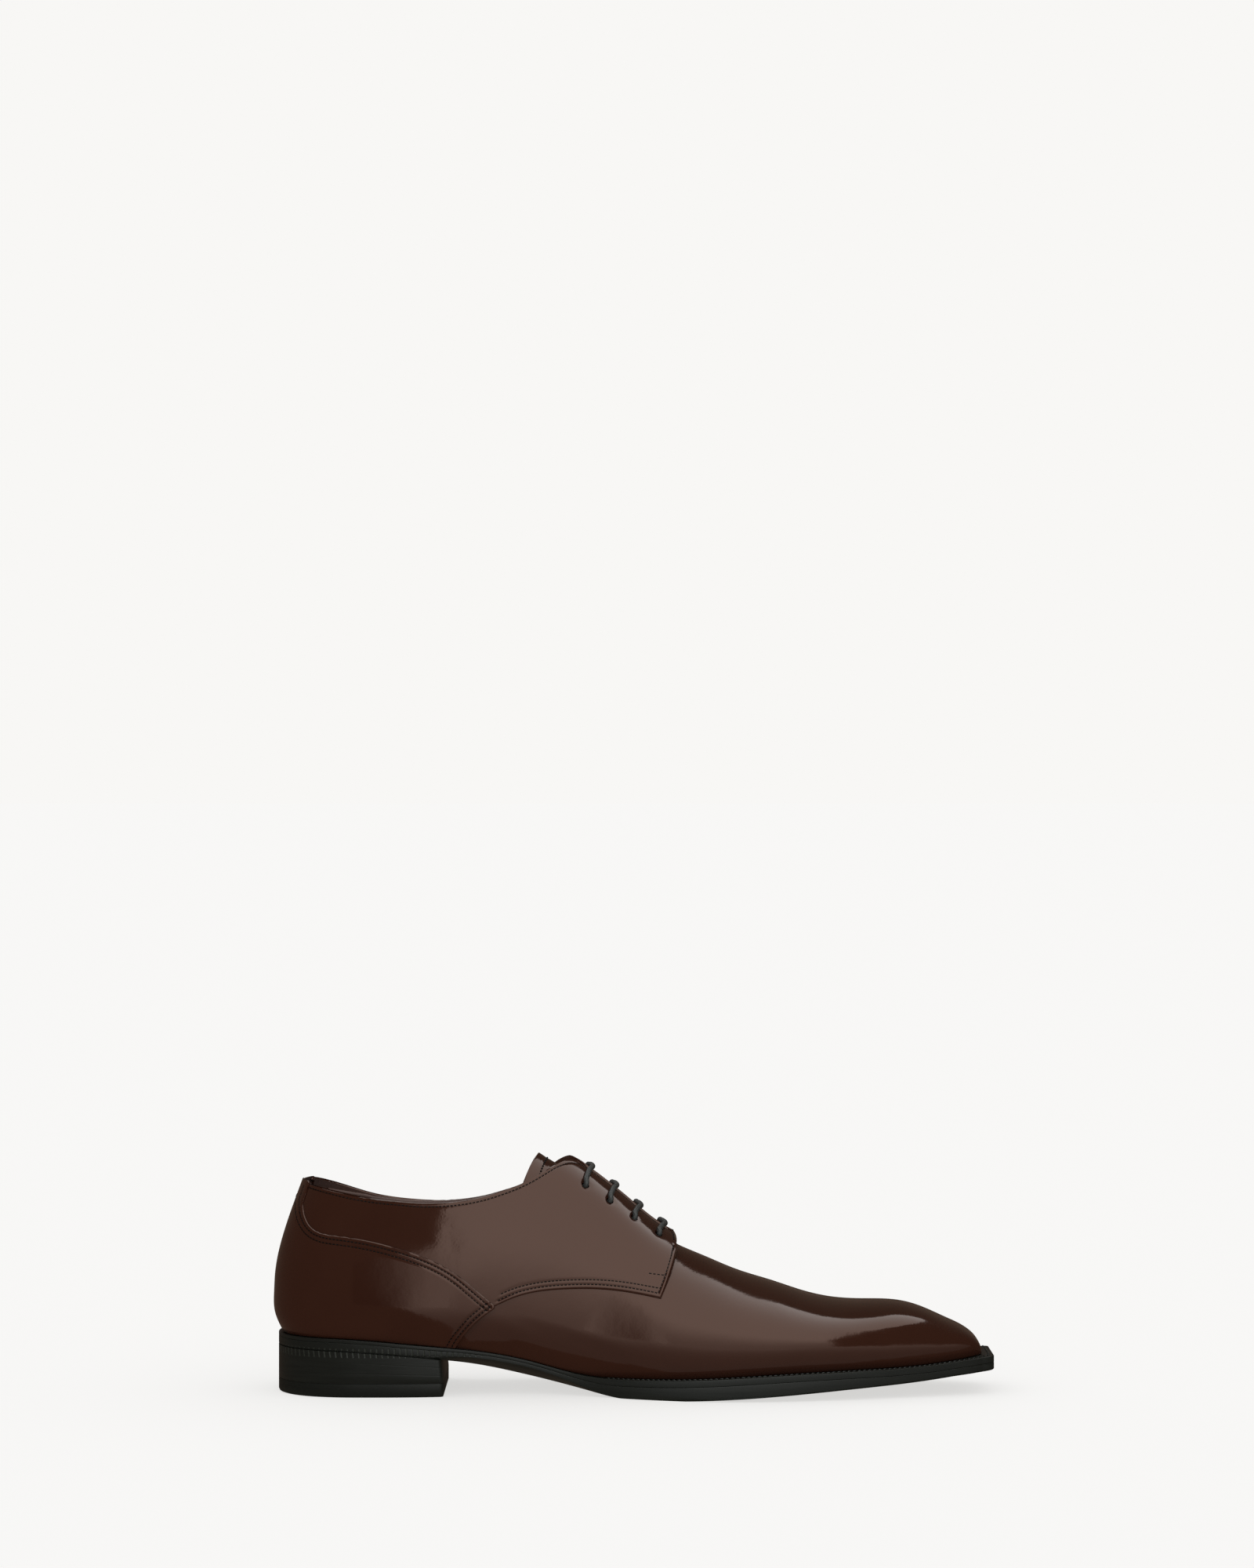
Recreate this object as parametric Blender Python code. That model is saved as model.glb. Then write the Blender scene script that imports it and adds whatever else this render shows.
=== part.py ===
"""Left derby shoe, size about EU 43, on a long chiselled last: four blind eyelets a side, straight lacing.

The shoe stands on its heel and forefoot. +X runs from heel to toe, -Y is the medial side, +Z is up,
and the origin lies on the floor under the middle of the shoe. Sizes are in millimetres.
"""

import functools
import math

import bmesh
import bpy
import numpy as np

MM = 0.001

# Driving sizes of the last
LENGTH = 310.0  # from the bulge at the back of the heel to the tip of the sole
BALL_WIDTH = 94.0  # across the feather line at the joint, which the widths below are shares of
INSTEP = 80.0  # height that the ridge and the bulge heights below are shares of
BALL_SEAT = 8.0  # feather line over the floor at the ball: outsole and welt together
HEEL_RISE = 17.2  # heel seat over the ball seat
TOE_SPRING = 8.2  # feather line at the tip over the ball seat
ARCH_LIFT = 3.0  # medial feather line over the lateral one at the waist

# Heel and toe of the last, in plan
HEEL_DEPTH = 38.0  # from the bulge at the back to where the sides run straight
HEEL_ROUND = 2.3  # exponent of the oval behind the heel, 2 is an ellipse
TOE_CORNER = 13.0  # length over which the sides turn into the front of the chisel
TOE_ROUND = 2.5  # exponent of that corner
TOE_FALL = 3.0  # exponent of the toe's fall to its front edge, seen from the side
TOE_FLAT = 10.5  # half width of the straight front of the chisel

# Leather
WALL = 1.5  # vamp and lining, one hollow wall from feather line to topline
OVERLAY = 1.1  # quarters, sewn over the vamp
COUNTER_STEP = 0.7  # the heel counter lies this much prouder than the quarters
FACING = 2.4  # quarters at the eyelets, with their facing
FACING_LIFT = 1.8  # the facings bridge the tongue's sides at this height
TONGUE = 1.8
GAP = 0.3  # between pieces that touch

# Bottom
WELT = 2.8
EDGE_MARGIN = 5.0  # sole edge beyond the feather line at the toe
TREAD_CHAMFER = 0.5
BEVEL_WIDTH = 11.0  # how far the waist's underside slopes in from its edge
INSOLE_RISE = 1.5  # top of the insole over the feather line
INSOLE_INSET = 2.6  # insole edge inside the feather line
HEEL_LENGTH = 71.0  # from the back of the sole to the breast
BREAST_RAKE = 1.0  # the breast leans forward by this much at the floor
TOP_PIECE = 5.5  # rubber piece under the heel stack
TOP_PIECE_CHAMFER = 1.0

# Lacing
EYELETS = 4
EYELET_RADIUS = 1.7
LACE_RADIUS = 1.0
BACK_ARC = 1.3  # length of the last's back, from its middle to the straight side, as a share of HEEL_DEPTH
STRAP_RISE = 0.5  # the back strap's tab over the topline
THROAT_GAP = 3.5  # from the ridge to the edge of a facing
EYELET_INSET = 11.0  # from the edge of a facing to the eyelets

# Mesh density
FAN_STEPS = 12
SIDE_STEPS = 28
CORNER_STEPS = 6
WALL_ROWS = 9
SEAM_POINTS = 60  # points that a counter seam is drawn with
STRAP_POINTS = 14  # how many of them run down the back strap

MEDIAL, LATERAL = -1.0, 1.0
SIDES = {"medial": MEDIAL, "lateral": LATERAL}

# Sections of the last. station is a share of LENGTH from the back, rise, spring and arch are shares of
# HEEL_RISE, TOE_SPRING and ARCH_LIFT, the feather and bulge columns are shares of BALL_WIDTH, widest is the
# height of the widest line over the feather line as a share of INSTEP, and box is the section's exponent.
SECTION_COLUMNS = (
    "station", "rise", "spring", "arch",
    "feather_medial", "feather_lateral", "bulge_medial", "bulge_lateral",
    "widest", "box",
)
SECTIONS = (
    (0.000, 1.000, 0.00, 0.00, 0.290, 0.334, 0.054, 0.044, 0.25, 2.05),
    (0.052, 0.990, 0.00, 0.00, 0.302, 0.320, 0.040, 0.041, 0.25, 2.05),
    (0.123, 0.945, 0.00, 0.00, 0.306, 0.314, 0.036, 0.040, 0.25, 2.05),
    (0.194, 0.800, 0.00, 0.17, 0.302, 0.322, 0.040, 0.042, 0.25, 2.05),
    (0.274, 0.550, 0.00, 0.70, 0.282, 0.334, 0.056, 0.044, 0.26, 2.10),
    (0.355, 0.270, 0.00, 0.75, 0.260, 0.352, 0.072, 0.048, 0.26, 2.20),
    (0.435, 0.030, 0.00, 0.10, 0.282, 0.398, 0.066, 0.052, 0.25, 2.20),
    (0.500, 0.000, 0.01, 0.00, 0.352, 0.452, 0.052, 0.054, 0.22, 2.10),
    (0.565, 0.000, 0.08, 0.00, 0.424, 0.505, 0.046, 0.054, 0.19, 2.05),
    (0.629, 0.000, 0.21, 0.00, 0.460, 0.530, 0.044, 0.052, 0.165, 2.10),
    (0.694, 0.000, 0.35, 0.00, 0.453, 0.510, 0.042, 0.046, 0.15, 2.15),
    (0.758, 0.000, 0.44, 0.00, 0.414, 0.452, 0.038, 0.038, 0.14, 2.25),
    (0.823, 0.000, 0.50, 0.00, 0.355, 0.372, 0.030, 0.030, 0.125, 2.45),
    (0.887, 0.000, 0.58, 0.00, 0.286, 0.288, 0.024, 0.024, 0.11, 2.70),
    (0.935, 0.000, 0.74, 0.00, 0.234, 0.227, 0.020, 0.020, 0.09, 2.90),
    (0.984, 0.000, 1.00, 0.00, 0.185, 0.172, 0.014, 0.014, 0.07, 3.00),
)

# Ridge of the last from the cone behind the throat to the toe: station as above, height over the feather
# line as a share of INSTEP, and sideways shift towards the medial side as a share of BALL_WIDTH.
RIDGE_COLUMNS = ("station", "height", "shift")
RIDGE = (
    (0.052, 1.250, 0.00),
    (0.123, 1.240, 0.00),
    (0.194, 1.250, 0.00),
    (0.274, 1.250, 0.01),
    (0.326, 1.200, 0.02),
    (0.374, 1.155, 0.03),
    (0.435, 1.040, 0.04),
    (0.484, 0.900, 0.045),
    (0.532, 0.745, 0.045),
    (0.565, 0.665, 0.045),
    (0.597, 0.605, 0.042),
    (0.645, 0.514, 0.038),
    (0.694, 0.442, 0.03),
    (0.742, 0.372, 0.02),
    (0.781, 0.335, 0.01),
    (0.823, 0.322, 0.00),
    (0.874, 0.308, -0.01),
    (0.900, 0.276, -0.01),
    (0.935, 0.204, -0.01),
    (0.962, 0.145, -0.01),
    (0.984, 0.100, -0.01),
)

# Back of the heel: height over the seat as a share of INSTEP, and how far the back lies inside the bulge
# as a share of HEEL_DEPTH.
BACK_COLUMNS = ("height", "inset")
BACK = (
    (0.00, 0.105),
    (0.10, 0.012),
    (0.22, 0.000),
    (0.31, 0.010),
    (0.54, 0.115),
    (0.69, 0.222),
    (0.83, 0.330),
    (1.25, 0.600),
)

# Topline in side view: station, and height over the ball seat as a share of INSTEP.
TOPLINE_COLUMNS = ("station", "medial", "lateral")
TOPLINE = (
    (0.040, 1.038, 1.038),
    (0.065, 1.018, 1.000),
    (0.097, 0.991, 0.953),
    (0.124, 0.969, 0.920),
    (0.177, 0.944, 0.888),
    (0.211, 0.935, 0.881),
    (0.242, 0.938, 0.886),
    (0.293, 0.966, 0.915),
    (0.319, 0.996, 0.945),
    (0.348, 1.035, 0.985),
    (0.376, 1.078, 1.045),
    (0.400, 1.110, 1.100),
    (0.419, 1.118, 1.122),
)

# Seams in side view, each from its first point on: station, and height over the ball seat as a share of INSTEP.
SEAM_COLUMNS = ("station", "height")
COUNTER_SEAM = (
    (0.051, 1.028),
    (0.044, 0.960),
    (0.045, 0.860),
    (0.057, 0.790),
    (0.095, 0.750),
    (0.150, 0.713),
    (0.205, 0.650),
    (0.252, 0.562),
    (0.286, 0.458),
    (0.309, 0.383),
)
SHANK_SEAM = (
    (0.309, 0.383),
    (0.289, 0.325),
    (0.2695, 0.249),
    (0.255, 0.169),
    (0.248, 0.105),
)
VAMP_SEAM = (
    (0.309, 0.383),
    (0.336, 0.431),
    (0.368, 0.464),
    (0.408, 0.480),
    (0.448, 0.484),
    (0.488, 0.474),
    (0.538, 0.443),
)
FRONT_SEAM = (
    (0.538, 0.443),
    (0.5445, 0.500),
    (0.5515, 0.560),
    (0.5575, 0.612),
    (0.562, 0.665),
)

# Throat: ends of the facings and of the tongue as stations, and the tongue's half width, a share of BALL_WIDTH.
FACING_TOP = 0.432
FACING_END = 0.556
TONGUE_ROOT = 0.572
TONGUE_TOP = 0.368
TONGUE_TOP_SIDE = 0.345
TONGUE_HALF = 0.25
TONGUE_CLEAR = 0.5  # between the tongue and the sides of the throat's cut-out
TONGUE_DROP = 3.4  # the tongue's top lies this much under the last's own ridge
EYELET_FIRST = 0.435
EYELET_LAST = 0.536
BAR_LEAN = 4.2  # a lace bar's middle lies this far ahead of its eyelets

# Sole: station, how far its edge stands out from the last as shares of EDGE_MARGIN, the welt's thickness as a
# share of WELT, depth of the edge below the feather line as a share of BALL_SEAT, height of the tread over the
# floor as shares of HEEL_RISE and of TOE_SPRING, and how far the waist's underside slopes in, of BEVEL_WIDTH.
SOLE_COLUMNS = ("station", "edge_medial", "edge_lateral", "welt", "edge", "tread_heel", "tread_toe", "bevel")
SOLE = (
    (0.000, 0.80, 0.80, 0.50, 0.65, 1.163, 0.00, 0.00),
    (0.123, 0.80, 0.80, 0.50, 0.65, 1.108, 0.00, 0.00),
    (0.194, 0.78, 0.80, 0.50, 0.56, 1.003, 0.00, 0.00),
    (0.234, 0.60, 0.76, 0.47, 0.45, 0.920, 0.00, 0.10),
    (0.274, 0.25, 0.68, 0.44, 0.37, 0.767, 0.00, 0.75),
    (0.320, 0.14, 0.60, 0.44, 0.36, 0.581, 0.00, 1.00),
    (0.361, 0.14, 0.58, 0.44, 0.36, 0.407, 0.00, 1.00),
    (0.405, 0.22, 0.62, 0.52, 0.45, 0.227, 0.00, 0.85),
    (0.445, 0.50, 0.76, 0.80, 0.72, 0.095, 0.00, 0.40),
    (0.475, 0.72, 0.86, 0.98, 0.93, 0.015, 0.00, 0.05),
    (0.500, 0.84, 0.90, 1.00, 1.00, -0.020, 0.00, 0.00),
    (0.540, 0.90, 0.92, 1.00, 1.00, -0.020, 0.00, 0.00),
    (0.600, 0.92, 0.92, 1.00, 1.00, 0.000, 0.05, 0.00),
    (0.660, 0.93, 0.93, 1.00, 1.00, 0.000, 0.18, 0.00),
    (0.728, 0.95, 0.95, 1.00, 1.00, 0.000, 0.355, 0.00),
    (0.815, 0.97, 0.97, 1.00, 1.00, 0.000, 0.585, 0.00),
    (0.902, 1.00, 1.00, 1.00, 1.00, 0.000, 0.835, 0.00),
    (1.000, 1.00, 1.00, 1.00, 1.00, 0.000, 1.320, 0.00),
)

COLORS = {
    "brown_leather": ((0.036, 0.012, 0.007, 1.0), 0.16, 0.0),
    "lining_leather": ((0.050, 0.024, 0.015, 1.0), 0.55, 0.0),
    "black_sole": ((0.012, 0.013, 0.010, 1.0), 0.42, 0.0),
    "black_rubber": ((0.010, 0.011, 0.009, 1.0), 0.62, 0.0),
    "black_cord": ((0.014, 0.017, 0.015, 1.0), 0.60, 0.0),
}


def column(columns, table, name):
    return np.array([row[columns.index(name)] for row in table], float)


def spline(knots, values, at):
    """Natural cubic spline through the knots, carried on straight past both ends."""
    knots, values, at = np.asarray(knots, float), np.asarray(values, float), np.asarray(at, float)
    step = np.diff(knots)
    count = len(knots)
    system, right = np.eye(count), np.zeros(count)
    for i in range(1, count - 1):
        system[i, i - 1:i + 2] = step[i - 1], 2 * (step[i - 1] + step[i]), step[i]
        right[i] = 6 * ((values[i + 1] - values[i]) / step[i] - (values[i] - values[i - 1]) / step[i - 1])
    bend = np.linalg.solve(system, right)
    inside = np.clip(at, knots[0], knots[-1])
    i = np.clip(np.searchsorted(knots, inside) - 1, 0, count - 2)
    h, a, b = step[i], knots[i + 1] - inside, inside - knots[i]
    value = (
        (bend[i] * a**3 + bend[i + 1] * b**3) / (6 * h)
        + (values[i] / h - bend[i] * h / 6) * a
        + (values[i + 1] / h - bend[i + 1] * h / 6) * b
    )
    slope = (
        (bend[i + 1] * b**2 - bend[i] * a**2) / (2 * h)
        + (values[i + 1] - values[i]) / h
        - (bend[i + 1] - bend[i]) * h / 6
    )
    return value + slope * (at - inside)


def looked_up(columns, table, name, at):
    return spline(column(columns, table, columns[0]), column(columns, table, name), at)


def side_word(side):
    return "medial" if side < 0 else "lateral"


X_BACK = -LENGTH / 2
X_STRAIGHT = X_BACK + HEEL_DEPTH
X_TIP = LENGTH / 2 - EDGE_MARGIN  # tip of the feather line
X_CORNER = X_TIP - TOE_CORNER


def station_of(x):
    return (x - X_BACK) / LENGTH


def x_of(station):
    return X_BACK + station * LENGTH


def section(name, x):
    return looked_up(SECTION_COLUMNS, SECTIONS, name, station_of(np.clip(x, X_STRAIGHT, X_TIP)))


def feather_height(side, x):
    """Height of the feather line over the floor."""
    station = station_of(np.minimum(x, X_TIP))
    rise = looked_up(SECTION_COLUMNS, SECTIONS, "rise", station)
    arch = section("arch", x) if side < 0 else 0.0
    return BALL_SEAT + HEEL_RISE * rise + TOE_SPRING * section("spring", x) + ARCH_LIFT * arch


def corner(x, tip, power):
    """1 along the sides, falling round the toe's corner to 0 at the tip."""
    share = np.clip((x - X_CORNER) / (tip - X_CORNER), 0, 1)
    return (1 - share**power) ** (1 / power)


def toe_shift():
    """Sideways place of the toe's middle, so that its front is square to the shoe."""
    return (section("feather_lateral", X_TIP) - section("feather_medial", X_TIP)) / 2 * BALL_WIDTH


def along(g, grow):
    """X of a station line g: -1 to 0 round the heel, 0 to 1 along the side, 1 to 2 round the toe's corner."""
    tip = X_TIP + grow
    side_run = X_STRAIGHT + (X_CORNER - X_STRAIGHT) * np.clip(g, 0, 1)
    toe_run = (tip - X_CORNER) * np.sin(np.clip(g - 1, 0, 1) * math.pi / 2)
    return side_run + toe_run


def back_inset(height):
    return HEEL_DEPTH * looked_up(BACK_COLUMNS, BACK, "inset", height / INSTEP)


def oval(g):
    """Shares of the heel's depth and breadth on a station line behind X_STRAIGHT."""
    angle = (np.clip(g, -1, 0) + 1) * math.pi / 2
    size = (np.cos(angle) ** HEEL_ROUND + np.sin(angle) ** HEEL_ROUND) ** (-1 / HEEL_ROUND)
    return np.cos(angle) * size, np.sin(angle) * size


def lasted(side, g, t, grow=0.0):
    """Points of the last grown by some thickness: station line g, and t from 0 at the feather line, over the
    widest line at WIDEST_T, to 1 on the ridge."""
    g, t, grow = np.broadcast_arrays(*(np.asarray(v, float) for v in (g, t, grow)))
    x = along(g, grow)
    turn = corner(x, X_TIP + grow, TOE_ROUND)
    fall = corner(x, X_TIP + grow, TOE_FALL)
    name = side_word(side)
    middle = toe_shift() * side * np.clip((x - X_STRAIGHT) / (X_TIP - X_STRAIGHT), 0, 1) ** 3
    flat = TOE_FLAT - middle
    feather = flat + (BALL_WIDTH * section("feather_" + name, x) - middle - flat) * turn + middle * (1 - turn)
    bulge = BALL_WIDTH * section("bulge_" + name, x) * turn
    deep, broad = oval(g)
    low = feather_height(side, np.where(g < 0, X_STRAIGHT - HEEL_DEPTH * deep, x))
    ridge_height = INSTEP * looked_up(RIDGE_COLUMNS, RIDGE, "height", station_of(x)) * fall
    base = feather_height(LATERAL, x)
    widest = low + np.minimum(INSTEP * section("widest", x), 0.45 * INSTEP) * fall
    ridge = base + ridge_height + grow * np.where(turn > 0, 1.15, 0) * np.clip(ridge_height / 6, 0, 1)
    shift = -BALL_WIDTH * looked_up(RIDGE_COLUMNS, RIDGE, "shift", station_of(x))
    top_y = side * shift
    out_y = feather + bulge + grow
    lower = np.clip(1 - t / WIDEST_T, 0, 1)
    angle = np.clip((t - WIDEST_T) / (1 - WIDEST_T), 0, 1) * math.pi / 2
    box = section("box", x)
    size = (np.cos(angle) ** box + np.sin(angle) ** box) ** (-1 / box)
    y = top_y + (out_y - top_y) * np.cos(angle) * size - bulge * lower**2
    z = widest - (widest - low) * lower + (ridge - widest) * np.sin(angle) * size
    back = X_BACK + OVERLAY + GAP + COUNTER_STEP + back_inset(z - low)
    depth = X_STRAIGHT - back + grow
    x = np.where(g < 0, X_STRAIGHT - depth * deep, x)
    y = np.where(g < 0, y * broad, y)
    return np.stack([x, side * y, z], axis=-1)


WIDEST_T = 0.2


def t_at_height(side, g, height, grow=0.0):
    """The t at which a station line reaches a height over the floor."""
    ts = np.linspace(0, 1, 241)
    found = [np.interp(h, lasted(side, one, ts, o)[:, 2], ts)
             for one, h, o in zip(*np.broadcast_arrays(g, height, grow))]
    return np.array(found)


def t_at_breadth(side, g, breadth, grow=0.0):
    """The t above the widest line at which a station line is this far from the ridge, sideways."""
    ts = np.linspace(WIDEST_T, 1, 241)
    found = []
    for one, far, o in zip(*np.broadcast_arrays(g, breadth, grow)):
        y = side * lasted(side, one, ts, o)[:, 1]
        found.append(np.interp(-(y[-1] + far), -y, ts))
    return np.array(found)


def g_of(x, z, grow=0.0):
    """Station line through a point of the side view on the last grown by some thickness."""
    x, z = np.asarray(x, float), np.asarray(z, float)
    ahead = (x - X_STRAIGHT) / (X_CORNER - X_STRAIGHT)
    back = X_BACK + OVERLAY + GAP + COUNTER_STEP + back_inset(z - feather_height(LATERAL, x))
    deep = np.clip((X_STRAIGHT - x) / (X_STRAIGHT - back + grow), 0, 1)
    lines = np.linspace(-1, 0, 181)
    behind = np.interp(-deep, -oval(lines)[0], lines)
    return np.where(x < X_STRAIGHT, behind, ahead)


def run_of(g):
    """Length along the last at a station line, from the heel's end of the straight side."""
    return np.where(g < 0, g * BACK_ARC * HEEL_DEPTH, g * (X_CORNER - X_STRAIGHT))


def line_at(run):
    """The station line at that length."""
    return np.where(run < 0, run / (BACK_ARC * HEEL_DEPTH), run / (X_CORNER - X_STRAIGHT))


def drawn(side, table, count, grow, aside=0.0):
    """A seam of the side view as count pairs (run, t) on that side of the last, moved aside to its right."""
    points = np.array(table, float)
    run = np.concatenate([[0], np.cumsum(np.hypot(*np.diff(points * (LENGTH, INSTEP), axis=0).T))])
    at = np.linspace(0, run[-1], count)
    x = x_of(spline(run, points[:, 0], at))
    z = BALL_SEAT + INSTEP * spline(run, points[:, 1], at)
    dx, dz = np.gradient(x), np.gradient(z)
    x, z = x + aside * dz / np.hypot(dx, dz), z - aside * dx / np.hypot(dx, dz)
    g = g_of(x, z, grow)
    return np.stack([run_of(g), t_at_height(side, g, z, grow)], axis=-1)


def counter_edge(side, grow, aside=0.0):
    """The counter's upper edge, with the back strap's sides never closing in downwards."""
    seam = drawn(side, COUNTER_SEAM, SEAM_POINTS, grow, aside)
    strap = seam[:STRAP_POINTS + 1, 0]
    seam[:STRAP_POINTS + 1, 0] = np.maximum.accumulate(np.concatenate([[strap.min()], strap[1:]]))
    return seam


def coons(bottom, top, left, right):
    """Grid between four edges that share their corners: bottom and top run along it, left and right across."""
    u = np.linspace(0, 1, len(bottom))[:, None, None]
    v = np.linspace(0, 1, len(left))[None, :, None]
    ruled = (1 - v) * bottom[:, None] + v * top[:, None] + (1 - u) * left[None] + u * right[None]
    corners = (
        (1 - u) * (1 - v) * bottom[0] + u * (1 - v) * bottom[-1]
        + (1 - u) * v * top[0] + u * v * top[-1]
    )
    return ruled - corners


@functools.cache
def sole_middle():
    """Y of the middle of the sole's width, which the shoe's frame is centred on."""
    breadth = []
    for side in (MEDIAL, LATERAL):
        g = np.linspace(0, 1, SIDE_STEPS + 1)
        edge = lasted(side, g, 0.0, EDGE_MARGIN * sole_value("edge_" + side_word(side), g))[..., 1]
        breadth.append(side * abs(edge).max())
    return sum(breadth) / 2


def solid(name, color, points, faces):
    """A closed mesh from points in millimetres: points that coincide are joined, collapsed faces dropped."""
    keys, numbers, kept = {}, [], []
    for p in points - (0.0, sole_middle(), 0.0):
        key = tuple(round(float(c), 5) for c in p)
        if key not in keys:
            keys[key] = len(kept)
            kept.append([c * MM for c in key])
        numbers.append(keys[key])
    made = []
    for face in faces:
        ring = [numbers[i] for i in face]
        ring = [v for k, v in enumerate(ring) if v != ring[k - 1]]
        if len(set(ring)) == len(ring) > 2:
            made.append(ring)
    mesh = bpy.data.meshes.new(name)
    mesh.from_pydata(kept, [], made)
    mesh.validate()
    turned_out(mesh)
    mesh.shade_smooth()
    mesh.set_sharp_from_angle(angle=math.radians(35))
    mesh.materials.append(material(color))
    made_object = bpy.data.objects.new(name, mesh)
    bpy.context.scene.collection.objects.link(made_object)
    return made_object


def turned_out(mesh):
    """Turns every face outwards."""
    work = bmesh.new()
    work.from_mesh(mesh)
    bmesh.ops.recalc_face_normals(work, faces=work.faces)
    work.to_mesh(mesh)
    work.free()


def material(name):
    found = bpy.data.materials.get(name)
    if found:
        return found
    color, roughness, metallic = COLORS[name]
    made = bpy.data.materials.new(name)
    made.use_nodes = True
    shader = made.node_tree.nodes["Principled BSDF"]
    shader.inputs["Base Color"].default_value = color
    shader.inputs["Roughness"].default_value = roughness
    shader.inputs["Metallic"].default_value = metallic
    made.diffuse_color = color
    return made


def sheet(name, color, outer, inner, closed=()):
    """A thick sheet between two grids of the same size, closed round their rims. closed names the rims that
    need no wall because the grid meets itself there."""
    n, m = outer.shape[:2]
    points = np.concatenate([outer.reshape(-1, 3), inner.reshape(-1, 3)])
    def out(i, j):
        return i * m + j
    def into(i, j):
        return n * m + i * m + j
    faces = []
    for i in range(n - 1):
        for j in range(m - 1):
            faces.append((out(i, j), out(i + 1, j), out(i + 1, j + 1), out(i, j + 1)))
            faces.append((into(i, j + 1), into(i + 1, j + 1), into(i + 1, j), into(i, j)))
    for i in range(n - 1):
        if not ("low", i) in closed:
            faces.append((out(i, 0), into(i, 0), into(i + 1, 0), out(i + 1, 0)))
        if not ("high", i) in closed:
            faces.append((out(i + 1, m - 1), into(i + 1, m - 1), into(i, m - 1), out(i, m - 1)))
    for j in range(m - 1):
        faces.append((out(0, j + 1), into(0, j + 1), into(0, j), out(0, j)))
        faces.append((out(n - 1, j), into(n - 1, j), into(n - 1, j + 1), out(n - 1, j + 1)))
    return solid(name, color, points, faces)


def throat_root():
    return g_of(x_of(TONGUE_ROOT), 0.0)


def station_lines():
    """Station lines from the middle of the back to the tip, one of them at the throat's front end."""
    fan = np.linspace(-1, 0, FAN_STEPS, endpoint=False)
    sides = np.linspace(0, 1, SIDE_STEPS, endpoint=False)
    toe = np.linspace(1, 2, CORNER_STEPS + 1)
    lines = np.concatenate([fan, sides, toe])
    lines[np.argmin(abs(lines - throat_root()))] = throat_root()
    return lines


def topline_height(side, x):
    heights = looked_up(TOPLINE_COLUMNS, TOPLINE, side_word(side), station_of(x))
    return BALL_SEAT + INSTEP * heights


def topline_t(side, g, grow):
    """t of the topline on a station line."""
    guess = lasted(side, g, 0.8, grow)[..., 0]
    return t_at_height(side, g, topline_height(side, guess), grow)


def throat_half(g):
    """Half width of the throat's cut-out: straight sides, closing round at its root, straight between lines."""
    lines = station_lines()
    start = x_of(FACING_END) - 2 * (x_of(TONGUE_ROOT) - x_of(FACING_END))
    share = np.clip((along(lines, 0) - start) / (x_of(TONGUE_ROOT) - start), 0, 1)
    return np.interp(g, lines, BALL_WIDTH * TONGUE_HALF * np.sqrt(1 - share**2))


def make_upper():
    """Vamp and lining: one wall from the feather line to the topline, open at the collar and down the throat."""
    lines, root = station_lines(), throat_root()
    grids = {"outer": [], "inner": []}
    for side in (MEDIAL, LATERAL):
        top = np.ones(len(lines))
        throat = lines < root
        top[throat] = np.minimum(
            topline_t(side, lines[throat], 0.0), t_at_breadth(side, lines[throat], throat_half(lines[throat]))
        )
        rows = np.linspace(0, 1, WALL_ROWS + 1)
        t = top[:, None] * rows[None]
        for key, grow in (("outer", 0.0), ("inner", -WALL)):
            grids[key].append(lasted(side, lines[:, None], t, grow))
    outer, inner = (np.concatenate([grids[k][0][::-1], grids[k][1][1:]]) for k in ("outer", "inner"))
    lift_bottom(outer)
    lift_bottom(inner)
    count = len(outer)
    ridge = {i for i in range(count - 1)
             if min(lines[abs(i - (len(lines) - 1))], lines[abs(i + 1 - (len(lines) - 1))]) >= root}
    sheet("upper", "brown_leather", outer, inner, closed={("high", i) for i in ridge})


def lift_bottom(grid):
    """Seats a grid whose first column is the feather line just over the welt, all of the flat tip with it."""
    seat = grid[:, :1, 2] + GAP
    grid[..., 2] = np.maximum(grid[..., 2], seat)


def overlay_sheet(name, cells, thickness, lift, color="brown_leather"):
    """A sheet over the last from its grid of (side, run, t), its underside lifted GAP and more."""
    side, g, t = cells[..., 0], line_at(cells[..., 1]), cells[..., 2]
    low = GAP + lift
    outer, inner = np.zeros(g.shape + (3,)), np.zeros(g.shape + (3,))
    for s in (MEDIAL, LATERAL):
        here = side == s
        outer[here] = lasted(s, g[here], t[here], (low + thickness)[here])
        inner[here] = lasted(s, g[here], t[here], low[here])
    return outer, inner


def facing_share(side, g, t):
    """1 at the edge of a facing, 0 from about 25 mm down its side and behind the throat."""
    x = along(g, 0)
    down = np.clip((t - 0.45) / 0.30, 0, 1)
    run = np.clip((x - x_of(FACING_TOP - 0.12)) / (x_of(FACING_TOP) - x_of(FACING_TOP - 0.12)), 0, 1)
    ahead = np.clip((x_of(FACING_END + 0.02) - x) / (x_of(0.02) - X_BACK), 0, 1)
    ease = lambda v: v * v * (3 - 2 * v)
    return ease(down) * ease(run) * (0.45 + 0.55 * ease(ahead))


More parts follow.
